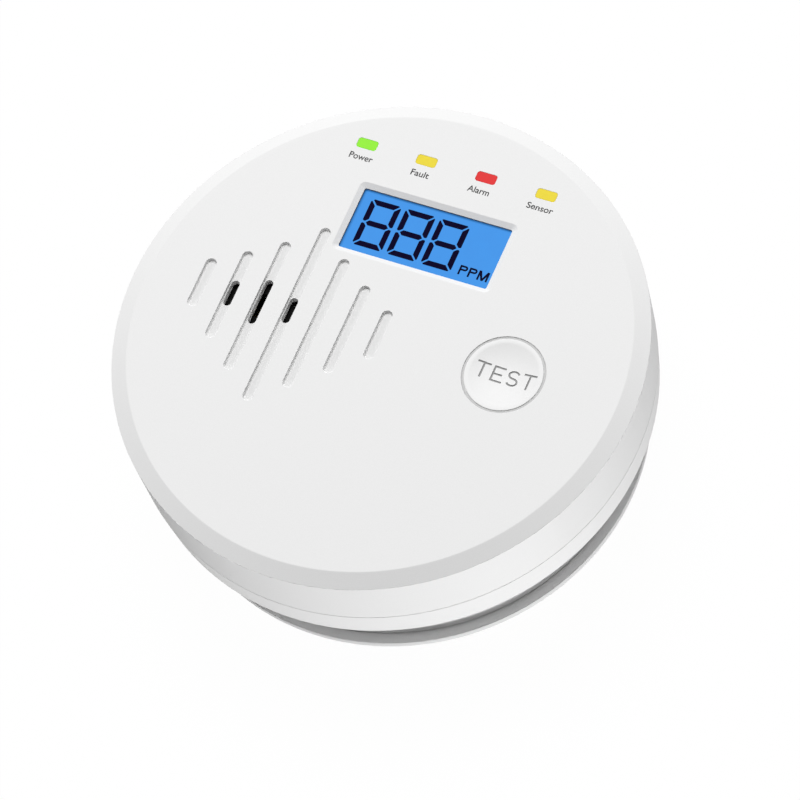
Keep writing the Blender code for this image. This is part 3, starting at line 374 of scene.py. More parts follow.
def stacked(name, outline, levels):
    """A loft of one outline, which takes a spread, through (spread, height) levels."""
    rings = [[(x, y, height) for x, y in outline(spread)] for spread, height in levels]
    return loft(name, rings)


def ring_piece(name, profile, start, end):
    """A closed profile of (radius, height) points, swept through an arc about Z."""
    rings = []
    for step in range(ARC_STEPS + 1):
        angle = start + (end - start) * step / ARC_STEPS
        across = math.cos(angle)
        along = math.sin(angle)
        rings.append([(radius * across, radius * along, height) for radius, height in profile])
    return loft(name, rings)


def block(name, low, high):
    outline = [(low[0], low[1]), (high[0], low[1]), (high[0], high[1]), (low[0], high[1])]
    return loft(name, [[(x, y, height) for x, y in outline] for height in (low[2], high[2])])


def joined(items):
    """Several closed meshes as one object."""
    shape = bmesh.new()
    for item in items:
        shape.from_mesh(item.data)
        bpy.data.objects.remove(item, do_unlink=True)
    return mesh_object("joined_tools", shape)


def combine(target, tools, operation):
    """Cuts or adds tools that don't touch each other, and keeps the result as plain mesh."""
    tool = joined(tools)
    modifier = target.modifiers.new(operation, "BOOLEAN")
    modifier.operation = operation
    modifier.solver = "EXACT"
    modifier.object = tool
    bpy.context.view_layer.update()
    evaluated = target.evaluated_get(bpy.context.evaluated_depsgraph_get())
    result = bpy.data.meshes.new_from_object(evaluated)
    target.modifiers.clear()
    target.data = result
    bpy.data.objects.remove(tool, do_unlink=True)


def edge_levels(edge, top):
    """Levels of a cutter that leaves a rounded edge on the face it enters from above."""
    levels = [(edge, top + BITE)]
    for step in range(1, EASE_STEPS + 1):
        angle = math.pi / 2 * step / EASE_STEPS
        levels.append((edge * (1 - math.sin(angle)), top - edge * (1 - math.cos(angle))))
    return levels


def finished(item, body, nodes, material):
    """Shades a piece, hangs it on its body and hides the imported nodes that it stands for."""
    mesh = item.data
    mesh.materials.clear()
    mesh.materials.append(material)
    mesh.shade_smooth()
    mesh.set_sharp_from_angle(angle=SMOOTH_ANGLE)
    normals = item.modifiers.new("even_normals", "WEIGHTED_NORMAL")
    normals.keep_sharp = True
    normals.weight = NORMAL_WEIGHT
    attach(item, body)
    if nodes:
        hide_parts(*nodes)


# Materials

def surface(name, dark, light, grain, rough, bump=0.0, metallic=0.0, specular=0.5):
    """A procedural finish: colour, roughness and bump vary with noise of the given grain in metres."""
    material = bpy.data.materials.new(name)
    material.use_nodes = True
    nodes = material.node_tree.nodes
    links = material.node_tree.links
    shader = nodes["Principled BSDF"]
    shader.inputs["Metallic"].default_value = metallic
    shader.inputs["Specular IOR Level"].default_value = specular
    place = nodes.new("ShaderNodeTexCoord")
    noise = nodes.new("ShaderNodeTexNoise")
    noise.inputs["Scale"].default_value = 1 / grain
    noise.inputs["Detail"].default_value = NOISE_DETAIL
    links.new(place.outputs["Object"], noise.inputs["Vector"])
    tint = nodes.new("ShaderNodeValToRGB")
    tint.color_ramp.elements[0].position = NOISE_LOW
    tint.color_ramp.elements[0].color = (*dark, 1.0)
    tint.color_ramp.elements[1].position = NOISE_HIGH
    tint.color_ramp.elements[1].color = (*light, 1.0)
    links.new(noise.outputs["Fac"], tint.inputs["Fac"])
    links.new(tint.outputs["Color"], shader.inputs["Base Color"])
    gloss = nodes.new("ShaderNodeMapRange")
    gloss.inputs["To Min"].default_value = rough[0]
    gloss.inputs["To Max"].default_value = rough[1]
    links.new(noise.outputs["Fac"], gloss.inputs["Value"])
    links.new(gloss.outputs["Result"], shader.inputs["Roughness"])
    if bump:
        relief = nodes.new("ShaderNodeBump")
        relief.inputs["Strength"].default_value = 1.0
        relief.inputs["Distance"].default_value = bump
        links.new(noise.outputs["Fac"], relief.inputs["Height"])
        links.new(relief.outputs["Normal"], shader.inputs["Normal"])
    return material


def lit(material, colour, strength):
    """Makes a finish glow, as a backlit display or a lamp does."""
    shader = material.node_tree.nodes["Principled BSDF"]
    shader.inputs["Emission Color"].default_value = (*colour, 1.0)
    shader.inputs["Emission Strength"].default_value = strength


def edge_shade(material, corner):
    """Dims a glowing finish along its left and top edges, where the frame shades it."""
    nodes = material.node_tree.nodes
    links = material.node_tree.links
    place = nodes.new("ShaderNodeTexCoord")
    axes = nodes.new("ShaderNodeSeparateXYZ")
    links.new(place.outputs["Object"], axes.inputs["Vector"])
    both = nodes.new("ShaderNodeMath")
    both.operation = "MULTIPLY"
    sides = (("X", corner[0], SHADE_REACH), ("Y", corner[1], -SHADE_REACH))
    for index, (axis, edge, step) in enumerate(sides):
        fade = nodes.new("ShaderNodeMapRange")
        fade.inputs["From Min"].default_value = edge
        fade.inputs["From Max"].default_value = edge + step
        fade.inputs["To Min"].default_value = SHADE_DIM
        links.new(axes.outputs[axis], fade.inputs["Value"])
        links.new(fade.outputs["Result"], both.inputs[index])
    links.new(both.outputs["Value"], nodes["Principled BSDF"].inputs["Emission Strength"])


def grey(level):
    return (level, level, level)


SHELL = surface("moulded_white", grey(0.805), grey(0.835), 0.00016, (0.52, 0.62), 0.000004, specular=0.05)
BAND = surface(
    "moulded_white_back", grey(0.790), grey(0.815), 0.00016, (0.52, 0.62), 0.000004, specular=0.05
)
# Groove floors: the face's white made darker, as painted shade of the recess
SHADED_GROOVE_FLOOR = surface("groove_floor_painted_shade", grey(0.700), grey(0.708), 0.00060, (0.60, 0.70), specular=0.05)
# Groove and slot walls: the face's white made lighter, as painted light in their shade
LIT_GROOVE_WALL = surface("groove_wall_painted_light", grey(0.910), grey(0.918), 0.00060, (0.60, 0.70), specular=0.05)
# The upright sill below the display's bevel is dark brown, a painted shadow line between bevel and glass
SHADED_SILL = surface("window_sill_painted_shade", (0.33, 0.285, 0.25), (0.37, 0.32, 0.28), 0.0004, (0.6, 0.7), specular=0.05)
PLATE = surface("plate_white", grey(0.735), grey(0.765), 0.00020, (0.55, 0.65), 0.000005, specular=0.05)
BUTTON = surface("button_white", grey(0.790), grey(0.812), 0.00014, (0.42, 0.50), 0.000002, specular=0.2)
ENGRAVED = surface("engraved_grey", grey(0.27), grey(0.33), 0.00020, (0.6, 0.7), specular=0.2)
# The shoulder at the foot of the gap round the button: mid grey, as painted shade of the gap
SHADED_BUTTON_GAP = surface("button_gap_painted_shade", grey(0.53), grey(0.57), 0.00020, (0.6, 0.7), specular=0.1)
CAPTION_INK = surface("caption_ink", grey(0.05), grey(0.07), 0.00015, (0.6, 0.7), specular=0.1)
DISPLAY_DARK = (0.014, 0.085, 0.230)
DISPLAY_PALE = (0.016, 0.095, 0.250)
DISPLAY_GLOW = (0.034, 0.205, 0.560)
DISPLAY = surface("display_blue", DISPLAY_DARK, DISPLAY_PALE, 0.0030, (0.40, 0.46), specular=0.05)
lit(DISPLAY, DISPLAY_GLOW, 1.0)
edge_shade(DISPLAY, DISPLAY_CORNER)
SEGMENT_DARK = (0.005, 0.003, 0.019)
SEGMENT_PALE = (0.007, 0.005, 0.024)
SEGMENT = surface("segment_navy", SEGMENT_DARK, SEGMENT_PALE, 0.0010, (0.6, 0.7), specular=0.0)
HOLDER = surface("holder_white", grey(0.70), grey(0.76), 0.0005, (0.45, 0.55), 0.000004)
MILKY = surface("milky_diffuser", (0.74, 0.78, 0.82), (0.80, 0.84, 0.88), 0.0015, (0.35, 0.45))
RUBBER = surface("strip_grey", grey(0.09), grey(0.13), 0.0003, (0.7, 0.85), 0.00001)
LED_BODY = surface("led_body", (0.72, 0.72, 0.66), (0.80, 0.80, 0.74), 0.0006, (0.3, 0.4))
BOARD = surface("board_green", (0.012, 0.115, 0.040), (0.020, 0.170, 0.062), 0.0018, (0.28, 0.42), 0.00002)
BLACK = surface("component_black", grey(0.016), grey(0.026), 0.0004, (0.42, 0.55), 0.000006)
SOUNDER_BLACK = surface("sounder_black", grey(0.005), grey(0.009), 0.0004, (0.7, 0.8), specular=0.02)
FERRITE = surface("ferrite_grey", grey(0.045), grey(0.075), 0.0003, (0.6, 0.75), 0.00001)
CAN = surface("capacitor_can", (0.46, 0.47, 0.49), (0.56, 0.57, 0.59), 0.0008, (0.28, 0.38), metallic=1.0)
STEEL = surface("steel", grey(0.56), grey(0.66), 0.0005, (0.22, 0.36), 0.000003, metallic=1.0)
BRASS = surface(
    "brass", (0.66, 0.46, 0.16), (0.76, 0.55, 0.22), 0.0007, (0.25, 0.38), 0.000003, metallic=1.0
)
JACKET = surface("cell_jacket", (0.030, 0.075, 0.150), (0.045, 0.100, 0.190), 0.0040, (0.25, 0.35))
RED_LEAD = surface("lead_red", (0.48, 0.014, 0.012), (0.58, 0.022, 0.018), 0.0008, (0.45, 0.55), 0.000004)
BLACK_LEAD = surface("lead_black", grey(0.014), grey(0.024), 0.0008, (0.45, 0.55), 0.000004)


# Front cover

def groove_x(index):
    return GRILLE_X + (index - (GROOVE_COUNT - 1) / 2) * GROOVE_PITCH


def groove_ends(index):
    steps_out = int(abs(index - (GROOVE_COUNT - 1) / 2))
    return GROOVE_BOTTOMS[steps_out], GROOVE_TOPS[steps_out]


def groove_tool(index):
    """A shallow groove with a rounded mouth, a little draft and a rounded root."""
    bottom, top = groove_ends(index)
    length = top - bottom
    place = (groove_x(index), (top + bottom) / 2)
    floor = FACE_Z - GROOVE_DEPTH
    levels = edge_levels(GROOVE_EDGE, FACE_Z)
    for step in range(EASE_STEPS + 1):
        angle = math.pi / 2 * step / EASE_STEPS
        spread = -GROOVE_DRAFT - GROOVE_ROOT * (1 - math.cos(angle))
        levels.append((spread, floor + GROOVE_ROOT * (1 - math.sin(angle))))
    return stacked(
        f"groove_{index}",
        lambda spread: slot_outline(GROOVE_WIDTH + 2 * spread, length + 2 * spread, place),
        levels,
    )


def slot_tool(step, length):
    index = int((GROOVE_COUNT - 1) / 2) + step
    place = (groove_x(index), SLOT_Y)
    top = FACE_Z - GROOVE_DEPTH + BITE
    return stacked(
        f"slot_{index}",
        lambda spread: slot_outline(SLOT_WIDTH, length, place),
        [(0.0, top), (0.0, COVER_UNDER_Z - BITE)],
    )


def window_tool():
    """The display's opening: a soft edge, a bevel, then a short upright sill."""
    slope = math.atan2(WINDOW_DEPTH, WINDOW_BEVEL)
    reach = WINDOW_EDGE * math.tan(slope / 2)
    levels = [(reach, FACE_Z + BITE)]
    for step in range(1, EASE_STEPS + 1):
        angle = slope * step / EASE_STEPS
        spread = reach - WINDOW_EDGE * math.sin(angle)
        levels.append((spread, FACE_Z - WINDOW_EDGE * (1 - math.cos(angle))))
    levels.append((-WINDOW_BEVEL, FACE_Z - WINDOW_DEPTH))
    levels.append((-WINDOW_BEVEL, GLASS_TOP_Z - WINDOW_SILL_GAP))
    return stacked(
        "window",
        lambda spread: box_outline(
            WINDOW_WIDTH + 2 * spread,
            WINDOW_HEIGHT + 2 * spread,
            max(WINDOW_CORNER + spread, WINDOW_LEAST_CORNER),
            (WINDOW_PLACE[0], WINDOW_PLACE[1] - WINDOW_DROP),
        ),
        levels,
    )


def light_place(light):
    low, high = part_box(f"{light}_light_pipe")
    return ((low.x + high.x) / 2 + LIGHT_SHIFT, (low.y + high.y) / 2)


def light_outline(light, spread):
    width = LIGHT_WIDTH + 2 * spread
    depth = LIGHT_HEIGHT + 2 * spread
    return box_outline(width, depth, max(LIGHT_CORNER + spread, LIGHT_LEAST_CORNER), light_place(light))


def light_hole_tool(light):
    levels = edge_levels(LIGHT_EDGE, FACE_Z)
    levels.append((0.0, COVER_UNDER_Z - BITE))
    return stacked(f"{light}_hole", lambda spread: light_outline(light, LIGHT_GAP + spread), levels)


def button_hole_tool():
    levels = edge_levels(BUTTON_HOLE_EDGE, FACE_Z)
    levels.append((0.0, COVER_UNDER_Z - BITE))
    radius = BUTTON_RADIUS + BUTTON_HOLE_GAP
    return stacked(
        "button_hole",
        lambda spread: circle_outline(radius + spread, BUTTON_PLACE, BUTTON_ROUND),
        levels,
    )


def screw_places():
    places = []
    for index in range(1, HOUSING_SCREW_COUNT + 1):
        low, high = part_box(f"housing_screw_{index}")
        places.append(((low.x + high.x) / 2, (low.y + high.y) / 2))
    return places


def in_window(point):
    """Whether a point lies on the upright edge between the bevel and the glass."""
    if not GLASS_TOP_Z < point.z < FACE_Z - WINDOW_DEPTH:
        return False
    inside_x = abs(point.x - WINDOW_PLACE[0]) < WINDOW_WIDTH / 2
    return inside_x and abs(point.y - WINDOW_PLACE[1]) < WINDOW_HEIGHT / 2


def in_grille(point):
    """Whether a point lies below the face inside one of the grooves."""
    if not COVER_UNDER_Z < point.z < FACE_Z - GROOVE_EDGE / 2:
        return False
    for index in range(GROOVE_COUNT):
        bottom, top = groove_ends(index)
        if abs(point.x - groove_x(index)) < GROOVE_WIDTH / 2 + GROOVE_EDGE and bottom < point.y < top:
            return True
    return False


def make_cover():
    side_inner = TONGUE_RADIUS + GAP
    cover = turned("cover", eased([
        (COVER_RADIUS - CHAMFER_WIDTH - CAP_INSET, FACE_Z, 0),
        (COVER_RADIUS - CHAMFER_WIDTH, FACE_Z, FACE_EDGE_EASE),
        (COVER_RADIUS, FACE_Z - CHAMFER_DROP, RIM_EASE),
        (HOUSING_RADIUS, COVER_BOTTOM_Z, PARTING_EASE),
        (side_inner, COVER_BOTTOM_Z, 0),
        (side_inner, TONGUE_TOP_Z + GAP, 0),
        (COVER_RADIUS - COVER_WALL, TONGUE_TOP_Z + GAP, 0),
        (COVER_RADIUS - COVER_WALL, COVER_UNDER_Z, BAND_EASE),
        (COVER_RADIUS - COVER_WALL - CAP_INSET, COVER_UNDER_Z, 0),
    ]))
    posts = []
    for index, place in enumerate(screw_places()):
        top = COVER_UNDER_Z + BITE
        posts.append(turned(f"post_{index}", [
            (CENTRE_RADIUS, top),
            (COVER_POST_RADIUS, top),
            (COVER_POST_RADIUS, COVER_LOW.z),
            (COVER_POST_HOLE, COVER_LOW.z),
            (COVER_POST_HOLE, COVER_LOW.z + COVER_POST_HOLE_DEPTH),
            (CENTRE_RADIUS, COVER_LOW.z + COVER_POST_HOLE_DEPTH),
        ], SMALL_ROUND, place))
    combine(cover, posts, "UNION")
    tools = [groove_tool(index) for index in range(GROOVE_COUNT)]
    tools += [light_hole_tool(light) for light in LIGHT_NAMES]
    tools += [window_tool(), button_hole_tool()]
    combine(cover, tools, "DIFFERENCE")
    tools = [slot_tool(step, length) for step, length in SLOT_LENGTHS.items()]
    pocket_low = (GLASS_LOW.x - GAP, GLASS_LOW.y - GAP, COVER_UNDER_Z - BITE)
    pocket_high = (GLASS_HIGH.x + GAP, GLASS_HIGH.y + GAP, GLASS_TOP_Z + WINDOW_SILL_GAP)
    tools.append(block("pocket", pocket_low, pocket_high))
    combine(cover, tools, "DIFFERENCE")
    finishes = [SHELL, SHADED_GROOVE_FLOOR, LIT_GROOVE_WALL, SHADED_SILL]
    finished(cover, "head", ["front_cover"], SHELL)
    for material in finishes[1:]:
        cover.data.materials.append(material)
    groove_floor = FACE_Z - GROOVE_DEPTH - SURFACE_SLACK
    for face in cover.data.polygons:
        if in_window(face.center) and abs(face.normal.z) < 1 - FLAT_NORMAL:
            # the upright sill faces take the dark brown painted shade
            face.material_index = finishes.index(SHADED_SILL)
        elif in_grille(face.center):
            # groove floors take the darker white, which is painted shade
            flat = face.center.z > groove_floor and face.normal.z > FLAT_NORMAL
            # groove and slot walls take the lighter white, which is painted light
            face.material_index = finishes.index(SHADED_GROOVE_FLOOR if flat else LIT_GROOVE_WALL)


# Rear housing

def make_housing():
    floor = BACK_WALL_Z + BACK_WALL
    band_floor = BAND_BOTTOM_Z + BAND_FLOOR
    housing = turned("housing", eased([
        (DRUM_INNER - 2 * CAP_INSET, floor, 0),
        (DRUM_INNER, floor, BAND_EASE),
        (DRUM_INNER, band_floor, BAND_EASE),
        (BAND_INNER, band_floor, BAND_EASE),
        (BAND_INNER, TONGUE_TOP_Z, PARTING_EASE),
        (TONGUE_RADIUS, TONGUE_TOP_Z, PARTING_EASE),
        (TONGUE_RADIUS, BAND_TOP_Z, 0),
        (HOUSING_RADIUS, BAND_TOP_Z, PARTING_EASE),
        (BAND_BOTTOM_RADIUS, BAND_BOTTOM_Z, BAND_EDGE_EASE),
        (DRUM_RADIUS, BAND_BOTTOM_Z, BAND_EASE),
        (DRUM_RADIUS, SKIRT_Z, DRUM_FOOT_EASE),
        (DRUM_INNER, SKIRT_Z, PARTING_EASE),
        (DRUM_INNER, BACK_WALL_Z, BAND_EASE),
        (DRUM_INNER - 2 * CAP_INSET, BACK_WALL_Z, 0),
    ]))
    bay_low = (FIRST_CELL_LOW.x - BAY_SIDE_GAP, LOWER_LINK_LOW.y - GAP, BACK_WALL_Z - BITE)
    bay_high = (LAST_CELL_HIGH.x + BAY_SIDE_GAP, UPPER_LINK_HIGH.y + GAP, UPPER_LINK_HIGH.z + GAP)
    additions = [block(
        "bay_walls",
        (bay_low[0] - BAY_WALL, bay_low[1] - BAY_WALL, floor - BITE),
        (bay_high[0] + BAY_WALL, bay_high[1] + BAY_WALL, bay_high[2] + BAY_WALL),
    )]
    boss_top = TONGUE_TOP_Z - BOSS_TOP_BELOW_TONGUE
    for index, place in enumerate(screw_places()):
        profile = [
            (CENTRE_RADIUS, boss_top),
            (BOSS_RADIUS, boss_top),
            (BOSS_RADIUS, floor - BITE),
            (CENTRE_RADIUS, floor - BITE),
        ]
        additions.append(turned(f"boss_{index}", profile, SMALL_ROUND, place))
    combine(housing, additions, "UNION")
    tools = [block("bay_space", bay_low, bay_high)]
    for index, place in enumerate(screw_places()):
        low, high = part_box(f"housing_screw_{index + 1}")
        head = (high.x - low.x) / 2 + GAP
        seat = boss_top - BOSS_SEAT_DEPTH
        profile = [
            (CENTRE_RADIUS, boss_top + BITE),
            (COVER_POST_HOLE, boss_top + BITE),
            (COVER_POST_HOLE, seat),
            (head, seat),
            (head, BACK_WALL_Z - BITE),
            (CENTRE_RADIUS, BACK_WALL_Z - BITE),
        ]
        tools.append(turned(f"bore_{index}", profile, SMALL_ROUND, place))
    combine(housing, tools, "DIFFERENCE")
    finished(housing, "head", ["rear_housing"], BAND)


# Wall plate

def make_plate():
    plate = turned("plate", eased([
        (PLATE_RADIUS - CAP_INSET, PLATE_THICKNESS, 0),
        (PLATE_RADIUS, PLATE_THICKNESS, PLATE_EASE),
        (PLATE_RADIUS, PLATE_LOW.z, PLATE_EASE / 2),
        (PLATE_RADIUS - CAP_INSET, PLATE_LOW.z, 0),
    ]))
    lip_outer = DRUM_INNER - HOOK_LIP_GAP
    post_outer = lip_outer - HOOK_LIP_REACH
    post_inner = post_outer - HOOK_POST_THICKNESS
    lip_z = HOOK_TOP_Z - HOOK_LIP_THICKNESS
    hook = [
        (post_inner, PLATE_THICKNESS - BITE),
        (post_outer, PLATE_THICKNESS - BITE),
        (post_outer, lip_z),
        (lip_outer, lip_z),
        (lip_outer, HOOK_TOP_Z),
        (post_inner, HOOK_TOP_Z),
    ]
    hooks = []
    for index in range(HOOK_COUNT):
        middle = HOOK_START + 2 * math.pi * index / HOOK_COUNT
        hooks.append(ring_piece(f"hook_{index}", hook, middle - HOOK_ARC / 2, middle + HOOK_ARC / 2))
    combine(plate, hooks, "UNION")
    slots = []
    for side in (1, -1):
        place = (side * WALL_SLOT_X, 0.0)
        slots.append(stacked(
            f"wall_slot_{side}",
            lambda spread: slot_outline(WALL_SLOT_WIDTH, WALL_SLOT_LENGTH, place),
            [(0.0, PLATE_THICKNESS + BITE), (0.0, PLATE_LOW.z - BITE)],
        ))
    combine(plate, slots, "DIFFERENCE")
    finished(plate, "wall_plate", ["mounting_plate"], PLATE)


# Test button

def dish_z(radius):
    """Height of the button's top, from its hollow middle out to its rim."""
    share = min(radius / (BUTTON_RADIUS - BUTTON_LAND), 1.0)
    return FACE_Z - BUTTON_DISH_DEPTH * (1 - share ** 2)


def letter_t(width, height, stroke):
    middle = width / 2
    half = stroke / 2
    return [
        (0.0, height), (0.0, height - stroke), (middle - half, height - stroke), (middle - half, 0.0),
        (middle + half, 0.0), (middle + half, height - stroke), (width, height - stroke), (width, height),
    ]


def letter_e(width, height, stroke):
    low = (height - stroke) / 2
    high = (height + stroke) / 2
    return [
        (0.0, height), (0.0, 0.0), (width, 0.0), (width, stroke), (stroke, stroke), (stroke, low),
        (width - stroke, low), (width - stroke, high), (stroke, high), (stroke, height - stroke),
        (width, height - stroke), (width, height),
    ]


def letter_s(width, height, stroke):
    """One line through two bowls, widened to the stroke."""
    reach_x = (width - stroke) / 2
    reach_y = (height - stroke) / 4
    line = []
    upper = (S_UPPER_START, S_SWEEP, height / 2 + reach_y)
    lower = (S_LOWER_START, -S_SWEEP, height / 2 - reach_y)
    for start, turn, centre_y in (upper, lower):
        for step in range(ARC_STEPS * 2 + 1):
            angle = start + turn * step / (ARC_STEPS * 2)
            point = Vector((width / 2 + reach_x * math.cos(angle), centre_y + reach_y * math.sin(angle)))
            if not line or (point - line[-1]).length > stroke * S_LEAST_STEP_SHARE:
                line.append(point)
    left = []
    right = []
    for index, point in enumerate(line):
        before = line[max(index - 1, 0)]
        after = line[min(index + 1, len(line) - 1)]
        along = (after - before).normalized()
        across = Vector((-along.y, along.x)) * stroke / 2
        left.append(point + across)
        right.append(point - across)
    return [tuple(point) for point in left + right[::-1]]


def letter_m(width, height, stroke):
    half = width / 2
    shoulder = stroke * M_SHOULDER_STROKES
    notch = height * M_NOTCH_SHARE
    foot = stroke * M_FOOT_STROKES
    left = [(0.0, 0.0), (0.0, height), (shoulder, height)]
    inner = [(half - foot, 0.0), (stroke, height - notch - stroke), (stroke, 0.0)]
    right = [(width - x, y) for x, y in left[::-1]]
    inner_right = [(width - x, y) for x, y in inner[::-1]]
    return left + [(half, notch)] + right + inner_right + inner


def letter_p_bowl(width, height, stroke):
    """The bowl of a P, which starts and ends at its stem."""
    reach = height * P_BOWL_SHARE
    outer = []
    inner = []
    for step in range(ARC_STEPS * 2 + 1):
        angle = math.pi / 2 - math.pi * step / (ARC_STEPS * 2)
        centre = Vector((width - reach, height - reach))
        way = Vector((math.cos(angle), math.sin(angle)))
        outer.append(tuple(centre + way * reach))
        inner.append(tuple(centre + way * (reach - stroke)))
    foot = [(stroke, outer[-1][1]), (stroke, inner[-1][1])]
    return [(stroke, height)] + outer + foot + inner[::-1] + [(stroke, height - stroke)]


LETTERS = {"T": letter_t, "E": letter_e, "S": letter_s}


def subdivided(outline, step):
    """The same closed outline with points no further apart than step."""
    points = []
    for index, start in enumerate(outline):
        start = Vector(start)
        end = Vector(outline[(index + 1) % len(outline)])
        count = max(1, math.ceil((end - start).length / step))
        points += [start.lerp(end, share / count) for share in range(count)]
    return points


def letter_tools(word):
    """Cutters whose floors follow the hollow of the button."""
    total = sum(LETTER_WIDTHS[letter] for letter in word) + LETTER_GAP * (len(word) - 1)
    x = -total / 2 + LETTER_PLACE[0]
    y = -LETTER_HEIGHT / 2 + LETTER_PLACE[1]
    tools = []
    for index, letter in enumerate(word):
        outline = LETTERS[letter](LETTER_WIDTHS[letter], LETTER_HEIGHT, LETTER_STROKE)
        outline = [point + Vector((x, y)) for point in subdivided(outline, LETTER_STEP)]
        top = []
        floor = []
        for point in outline:
            place = (BUTTON_PLACE[0] + point.x, BUTTON_PLACE[1] + point.y)
            top.append((*place, FACE_Z + BITE))
            floor.append((*place, dish_z(point.length) - LETTER_DEPTH))
        tool = loft(f"letter_{index}", [floor, top])
        shape = bmesh.new()
        shape.from_mesh(tool.data)
        bmesh.ops.triangulate(shape, faces=[face for face in shape.faces if len(face.verts) > 4])
        shape.to_mesh(tool.data)
        shape.free()
        tools.append(tool)
        x += LETTER_WIDTHS[letter] + LETTER_GAP
    return tools


def make_button():
    dish_radius = BUTTON_RADIUS - BUTTON_LAND
    profile = []
    for step in range(1, BUTTON_DISH_STEPS + 1):
        radius = dish_radius * step / BUTTON_DISH_STEPS
        profile.append((radius, dish_z(radius)))
    for step in range(ARC_STEPS + 1):
        angle = math.pi / 2 * (1 - step / ARC_STEPS)
        radius = BUTTON_RADIUS - BUTTON_EDGE + BUTTON_EDGE * math.cos(angle)
        profile.append((radius, FACE_Z + BUTTON_EDGE * (math.sin(angle) - 1)))
    shoulder_z = FACE_Z - BUTTON_SHOULDER_DEPTH
    shoulder_radius = BUTTON_RADIUS + BUTTON_HOLE_GAP - BUTTON_SHOULDER_GAP
    flange_top = COVER_UNDER_Z - GAP
    flange_bottom = flange_top - BUTTON_FLANGE
    flange_radius = BUTTON_RADIUS + BUTTON_FLANGE_REACH
    profile += [
        (BUTTON_RADIUS, shoulder_z),
        (shoulder_radius, shoulder_z),
        (shoulder_radius, flange_top),
        (flange_radius, flange_top),
        (flange_radius, flange_bottom),
        (BUTTON_STEM_RADIUS, flange_bottom),
        (BUTTON_STEM_RADIUS, BUTTON_LOW.z),
        (BUTTON_STEM_RADIUS / BUTTON_DISH_STEPS, BUTTON_LOW.z),
    ]
    button = turned("button", profile, BUTTON_ROUND, BUTTON_PLACE)
    combine(button, letter_tools("TEST"), "DIFFERENCE")
    finishes = [BUTTON, ENGRAVED, SHADED_BUTTON_GAP]
    finished(button, "button", ["test_button"], BUTTON)
    for material in finishes[1:]:
        button.data.materials.append(material)
    for face in button.data.polygons:
        radius = (face.center.xy - Vector(BUTTON_PLACE)).length
        if face.center.z < COVER_UNDER_Z:
            continue
        if radius < BUTTON_RADIUS - BUTTON_EDGE and face.center.z < dish_z(radius) - LETTER_DEPTH / 4:
            face.material_index = finishes.index(ENGRAVED)
        # the shoulder in the gap round the button takes the grey painted shade
        if radius > BUTTON_RADIUS - SURFACE_SLACK and face.normal.z > FLAT_NORMAL:
            face.material_index = finishes.index(SHADED_BUTTON_GAP)


# Indicator lights

def make_light(light):
    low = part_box(f"{light}_light_pipe")[0]
    flange_top = COVER_UNDER_Z - GAP
    flange_bottom = flange_top - LIGHT_FLANGE
    levels = []
    for step in range(EASE_STEPS + 1):
        angle = math.pi / 2 * step / EASE_STEPS
        levels.append((LIGHT_EDGE * (math.sin(angle) - 1), FACE_Z - LIGHT_EDGE * (1 - math.cos(angle))))
    levels += [
        (0.0, flange_top),
        (LIGHT_FLANGE_REACH, flange_top),
        (LIGHT_FLANGE_REACH, flange_bottom),
        (0.0, flange_bottom),
        (0.0, low.z),
    ]
    lens = stacked(f"{light}_lens", lambda spread: light_outline(light, spread), levels)
    colour = LIGHT_COLOURS[light]
    dark = [channel * LIGHT_DARK_SHARE for channel in colour]
    pale = [channel * LIGHT_PALE_SHARE for channel in colour]
    tint = surface(f"{light}_tint", dark, pale, 0.0009, (0.40, 0.48), specular=0.05)
    lit(tint, colour, LIGHT_GLOW)
    finished(lens, "head", [f"{light}_light_pipe"], tint)


# Words and display

def flat_pieces(name, outlines, low, high):
    """Flat shapes of one thickness, each as an object of its own."""
    return [
        loft(f"{name}_{index}", [[(x, y, height) for x, y in outline] for height in (low, high)])
        for index, outline in enumerate(outlines)
    ]


def words(name, text, low, high, floor, thickness, weight):
    """Plain lettering fitted to a box in plan."""
    curve = bpy.data.curves.new(name, "FONT")
    curve.body = text
    curve.extrude = WORD_EXTRUDE
    curve.offset = weight
    drawn = bpy.data.objects.new(name, curve)
    bpy.context.scene.collection.objects.link(drawn)
    bpy.context.view_layer.update()
    evaluated = drawn.evaluated_get(bpy.context.evaluated_depsgraph_get())
    mesh = bpy.data.meshes.new_from_object(evaluated)
    bpy.data.objects.remove(drawn, do_unlink=True)
    corners = [Vector(vertex.co) for vertex in mesh.vertices]
    start = [min(corner[axis] for corner in corners) for axis in range(3)]
    end = [max(corner[axis] for corner in corners) for axis in range(3)]
    goal_low = (low[0], low[1], floor)
    goal_high = (high[0], high[1], floor + thickness)
    for vertex in mesh.vertices:
        for axis in range(3):
            share = (vertex.co[axis] - start[axis]) / (end[axis] - start[axis])
            vertex.co[axis] = goal_low[axis] + share * (goal_high[axis] - goal_low[axis])
    item = bpy.data.objects.new(name, mesh)
    bpy.context.scene.collection.objects.link(item)
    return item


def make_glass():
    depth = GLASS_HIGH.y - GLASS_LOW.y
    width = GLASS_HIGH.x - GLASS_LOW.x
    levels = [
        (-GLASS_EDGE, GLASS_TOP_Z),
        (0.0, GLASS_TOP_Z - GLASS_EDGE),
        (0.0, GLASS_LOW.z + GLASS_EDGE),
        (-GLASS_EDGE, GLASS_LOW.z),
    ]
    glass = stacked(
        "display",
        lambda spread: box_outline(width + 2 * spread, depth + 2 * spread, 2 * GLASS_EDGE, WINDOW_PLACE),
        levels,
    )
    finished(glass, "head", ["lcd_glass"], DISPLAY)


